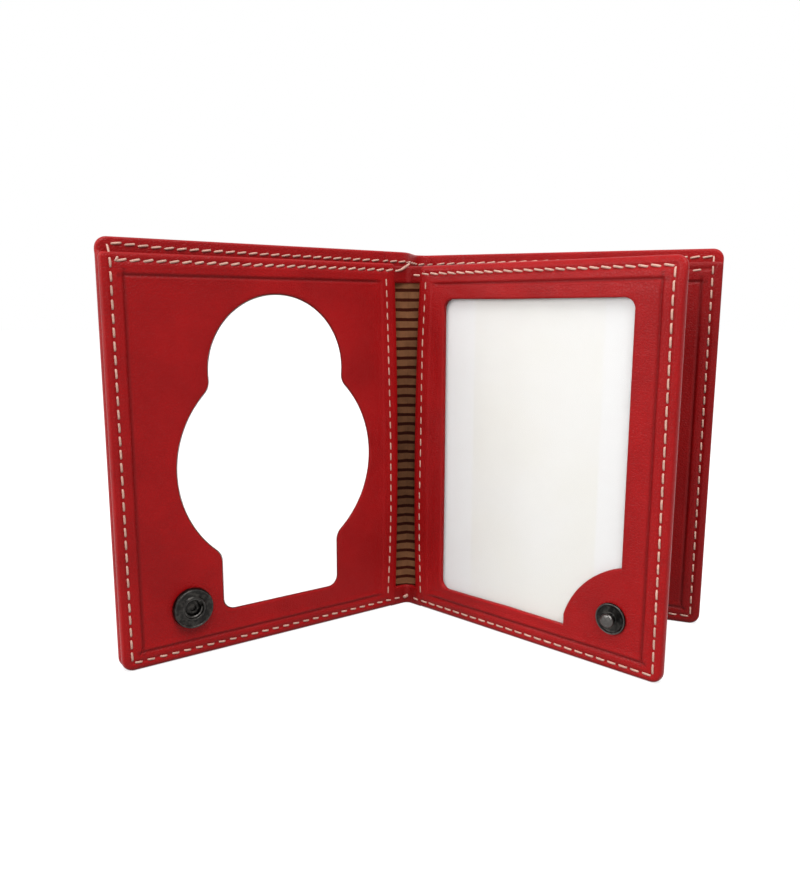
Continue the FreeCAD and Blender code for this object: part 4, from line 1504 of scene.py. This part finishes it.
@dataclass
class OuterSpine:
    """The cover's spine: one leather sheet that bends along two lines."""

    wallet: Wallet
    tail: float = 6.0
    radii: tuple = (7.0, 3.6)
    cut_share: float = 0.38
    leather: float = LEATHER + 0.06
    lining_gap: float = 0.06
    lining_margin: float = 0.6
    seam_height: float = 97.35
    seam_slant: float = 8.0
    before_first: float = 9.2
    after_second: float = 12.0
    bend_reach: tuple = (3.4, 3.6)

    def build(self) -> None:
        """Make the spine as two halves, with its seam and lining."""
        w = self.wallet
        depth = COVER_LEVEL - LEATHER / 2
        corners = np.array([w.badge_leaf.plan(self.tail, depth), w.first_bend, w.second_bend,
                            w.rear.plan(self.tail, 0.0)])
        path = fillet_path(corners, self.radii)
        middle = w.first_bend + (w.second_bend - w.first_bend) * self.cut_share
        cut = int(np.argmin(np.linalg.norm(path - middle, axis=1)))
        first = (w.badge_leaf.plan(self.before_first, depth), w.first_bend, w.second_bend)
        second = (w.first_bend, w.second_bend, w.rear.plan(self.after_second, 0.0))
        halves = (("spine_first", path[:cut + 1], "badge_leaf", "spine", first),
                  ("spine_second", path[cut:], "spine", "cover_leaf", second))
        for (name, part, near, far, (before, bend, after)), reach in zip(halves, self.bend_reach):
            way = unit(unit(bend - before) + unit(after - bend)) * reach
            ends = [tuple(np.append(spot, MID_HEIGHT) * MM) for spot in (bend - way, bend + way)]
            leather = strip(name + "_leather", part, self.leather, 0.0, COVER_HEIGHT,
                            w.finishes.leather)
            seam = self.seam(name, part)
            lining = self.lining(name, part)
            for thing, slot in ((leather, "leather_red"), (seam, "leather_red"),
                                (lining, "lining_cloth")):
                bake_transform(thing)
            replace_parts(leather, "cover_spine")
            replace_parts(lining, "spine_lining")

    def lining(self, name: str, path: np.ndarray) -> bpy.types.Object:
        """Make the cloth inside one half of the spine, between the two bends.

        Args:
            name: the half's name.
            path: plan points of the half's middle.

        Returns:
            The cloth.
        """
        w = self.wallet
        span = w.second_bend - w.first_bend
        reach = float(np.linalg.norm(span))
        share = (path - w.first_bend) @ span / reach
        keep = (share > self.lining_margin) & (share < reach - self.lining_margin)
        inner = path - plan_left(path) * (LEATHER / 2 + LINING / 2 + self.lining_gap)
        return strip(name + "_lining", inner[keep], LINING, HEM, COVER_HEIGHT - HEM, w.finishes.lining)

    def seam(self, name: str, path: np.ndarray) -> bpy.types.Object:
        """Make the stitches along the spine's top, on its inside.

        Args:
            name: the half's name.
            path: plan points of the half's middle.

        Returns:
            The stitches.
        """
        right = -plan_left(path)
        inner = path + right * self.leather / 2
        points = np.concatenate([inner, np.full((len(inner), 1), self.seam_height)], 1)
        spots, _ = resample(points, STITCH_PITCH)
        nearest = np.argmin(np.linalg.norm(spots[:, None, :2] - inner[None], axis=2), axis=1)
        normals = np.concatenate([right[nearest], np.zeros((len(spots), 1))], 1)
        seam = Seam(name + "_stitches", points * MM, normals, self.seam_slant)
        return seam.build(self.wallet.finishes.thread)


@dataclass
class RearLeaf:
    """Right leaf: cover and pocket panel."""

    wallet: Wallet
    width: float = 84.0
    setback: float = 3.5
    panel_level: float = -3.1
    cover_edge: float = 2.5
    seams: tuple = (2.1, 2.4, 1.8, 2.5)
    corners: tuple = (0.8, CORNER, 1.2, 0.8)
    thread: tuple = (2.4, 0.23)

    def build(self) -> None:
        """Make the leaf's pieces."""
        w = self.wallet
        outline = Outline(self.setback, self.width, 0.0, PANEL_TOP, self.corners)
        panel = Sheet("pocket_panel_leather", w.rear, outline, self.panel_level, Face.FRONT, LEATHER,
                      seams=self.seams)
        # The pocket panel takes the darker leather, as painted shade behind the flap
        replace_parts(panel.build(w.finishes.shaded_leather), "pocket_panel")
        foot, inset, _, _ = self.seams
        near, far = 6.0, self.width - inset
        side = [(far, 2.2), (far, 95.2), (far, 98.4, 2.1)]
        w.sew(panel,
              Row("pocket_panel_far_stitches", side, 2.0, *self.thread),
              Row("pocket_panel_foot_stitches", [(near, foot), (far, foot)], -3.0, *self.thread),
              Row("pocket_panel_top_stitches", [(near, 94.5), (far - 2.3, 94.5)], 8.0, *self.thread))
        cover = w.cover("cover_right", w.rear, self.width, LEATHER / 2, self.cover_edge)
        top = [(6.2, 97.4, 1.46), (81.6, 97.9, 1.46)]
        w.sew(cover, Row("cover_right_top_stitches", top, 8.0, inside=True))
        w.lay_lining("cover_right_lining", w.rear, "cover_right")
        w.paint("pocket_lining", w.finishes.lining)


@dataclass(frozen=True)
class Lamp:
    """A soft square light: where it hangs and its width, in metres, and its watts."""

    name: str
    place: tuple
    width: float
    power: float


@dataclass
class Studio:
    """Camera, lights, floor and white surroundings."""

    focal_px: float = 795.66
    image_height: float = 890.0
    sensor: float = 36.0
    camera: tuple = (-15.03, -203.54, 84.14)
    pitch: float = 9.6
    yaw: float = -2.2
    roll: float = 0.17
    clip: tuple = (0.01, 20.0)
    target: tuple = (0.0, 0.0, 0.05)
    key: Lamp = Lamp("key", (0.08, -0.42, 0.74), 0.45, 8.5)
    window: Lamp = Lamp("window", (-0.82, -0.32, 0.36), 0.38, 4.8)
    sky: tuple = (0.10, 1.25)
    sky_lean: float = 0.75
    sky_reach: tuple = (-0.9, 0.9)
    rim: float = 2.2
    rim_reach: tuple = (0.2, 0.9)
    shadow: float = 0.30
    floor_size: float = 3.0
    floor_tone: float = 0.30
    floor_white: float = 0.9
    floor_roughness: float = 0.9

    def build_camera(self) -> None:
        """Place the camera that took the picture: yawed, then pitched down, then rolled."""
        data = bpy.data.cameras.new("camera")
        data.sensor_width = self.sensor
        data.lens = self.focal_px * self.sensor / self.image_height
        data.clip_start, data.clip_end = self.clip
        yaw, pitch, roll = (math.radians(x) for x in (self.yaw, self.pitch, self.roll))
        right = Vector((math.cos(yaw), math.sin(yaw), 0.0))
        level = Vector((-math.sin(yaw), math.cos(yaw), 0.0))
        forward = level * math.cos(pitch) - Vector((0, 0, 1)) * math.sin(pitch)
        up = level * math.sin(pitch) + Vector((0, 0, 1)) * math.cos(pitch)
        turned_right = right * math.cos(roll) + up * math.sin(roll)
        turned_up = up * math.cos(roll) - right * math.sin(roll)
        basis = Matrix((turned_right, turned_up, -forward)).transposed().to_4x4()
        thing = link("camera", data)
        thing.matrix_world = Matrix.Translation(Vector(self.camera) * MM) @ basis
        bpy.context.scene.camera = thing

    def build_lamp(self, lamp: Lamp) -> None:
        """Hang one lamp so that it faces the wallet.

        Args:
            lamp: the lamp.
        """
        data = bpy.data.lights.new(lamp.name, "AREA")
        data.size = lamp.width
        data.energy = lamp.power
        thing = link(lamp.name, data)
        thing.location = lamp.place
        thing.rotation_mode = "QUATERNION"
        way = Vector(self.target) - Vector(lamp.place)
        thing.rotation_quaternion = way.to_track_quat("-Z", "Y")

    def build_world(self) -> None:
        """Make the surroundings white where seen, and as light brighter above, left and behind."""
        world = bpy.data.worlds.new("white")
        bpy.context.scene.world = world
        world.use_nodes = True
        nodes = Nodes(world.node_tree)
        way = nodes.add("ShaderNodeTexCoord", {}).outputs["Generated"]
        x, y, z = (nodes.value("ShaderNodeSeparateXYZ", {0: way}, axis) for axis in "XYZ")
        glow = (z - x * self.sky_lean).line(*self.sky_reach, *self.sky)
        rim = y.line(*self.rim_reach, 0.0, self.rim)
        back = world.node_tree.nodes["Background"]
        nodes.feed(back.inputs["Color"], WHITE)
        nodes.feed(back.inputs["Strength"], nodes.seen().line(0.0, 1.0, glow + rim, 1.0))

    def build_floor(self) -> None:
        """Lay the floor: grey as light, and where seen white with a share of the object's shadow."""
        size = self.floor_size
        corners = [(-size, -size, 0), (size, -size, 0), (size, size, 0), (-size, size, 0)]
        mesh = bpy.data.meshes.new("floor")
        mesh.from_pydata(corners, [], [(0, 1, 2, 3)])
        paint = Paint("pale_floor")
        paint.set(Base_Color=dim(WHITE, self.floor_tone), Roughness=self.floor_roughness)
        glow = paint.add("ShaderNodeEmission", {"Color": WHITE, "Strength": 1.0}).outputs[0]
        shaded = paint.add("ShaderNodeBsdfDiffuse", {"Color": dim(WHITE, self.floor_white)}).outputs[0]
        white = paint.add("ShaderNodeMixShader", {0: self.shadow, 1: glow, 2: shaded}).outputs[0]
        grey = paint.shader.outputs[0]
        both = paint.add("ShaderNodeMixShader", {0: paint.seen(), 1: grey, 2: white}).outputs[0]
        paint.feed(paint.tree.nodes["Material Output"].inputs["Surface"], both)
        mesh.materials.append(paint.material)
        link("floor", mesh)

    def build(self) -> None:
        """Set the whole stage."""
        bpy.context.scene.view_settings.view_transform = "Standard"
        self.build_camera()
        self.build_world()
        self.build_floor()
        self.build_lamp(self.key)
        self.build_lamp(self.window)


def main() -> None:
    """Build the wallet's looks and its stage, and report each piece."""
    logging.basicConfig(level=logging.INFO)
    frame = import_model()
    places = {joint["name"]: np.array(joint["pos_m"][:2], float) / MM
              for joint in frame["joints"] if "pos_m" in joint}
    fold, spine, cover = (places[name] for name in ("flap_fold", "spine_fold", "cover_fold"))
    wallet = Wallet(Finishes(), frame["nodes"],
                    Leaf("badge_leaf", tuple(fold), BADGE_TURN, Side.LEFT),
                    Leaf("id_flap", tuple(fold), FLAP_TURN, Side.RIGHT),
                    Leaf("cover_leaf", tuple(cover), REAR_TURN, Side.RIGHT), spine, cover)
    for part in (BadgeLeaf(wallet), CardFlap(wallet), Fold(wallet), OuterSpine(wallet),
                 RearLeaf(wallet)):
        known = set(bpy.data.objects.keys())
        part.build()
        for name in sorted(set(bpy.data.objects.keys()) - known):
            LOG.info("%s: built %s", type(part).__name__, name)
    Studio().build()


if __name__ == "__main__":
    main()
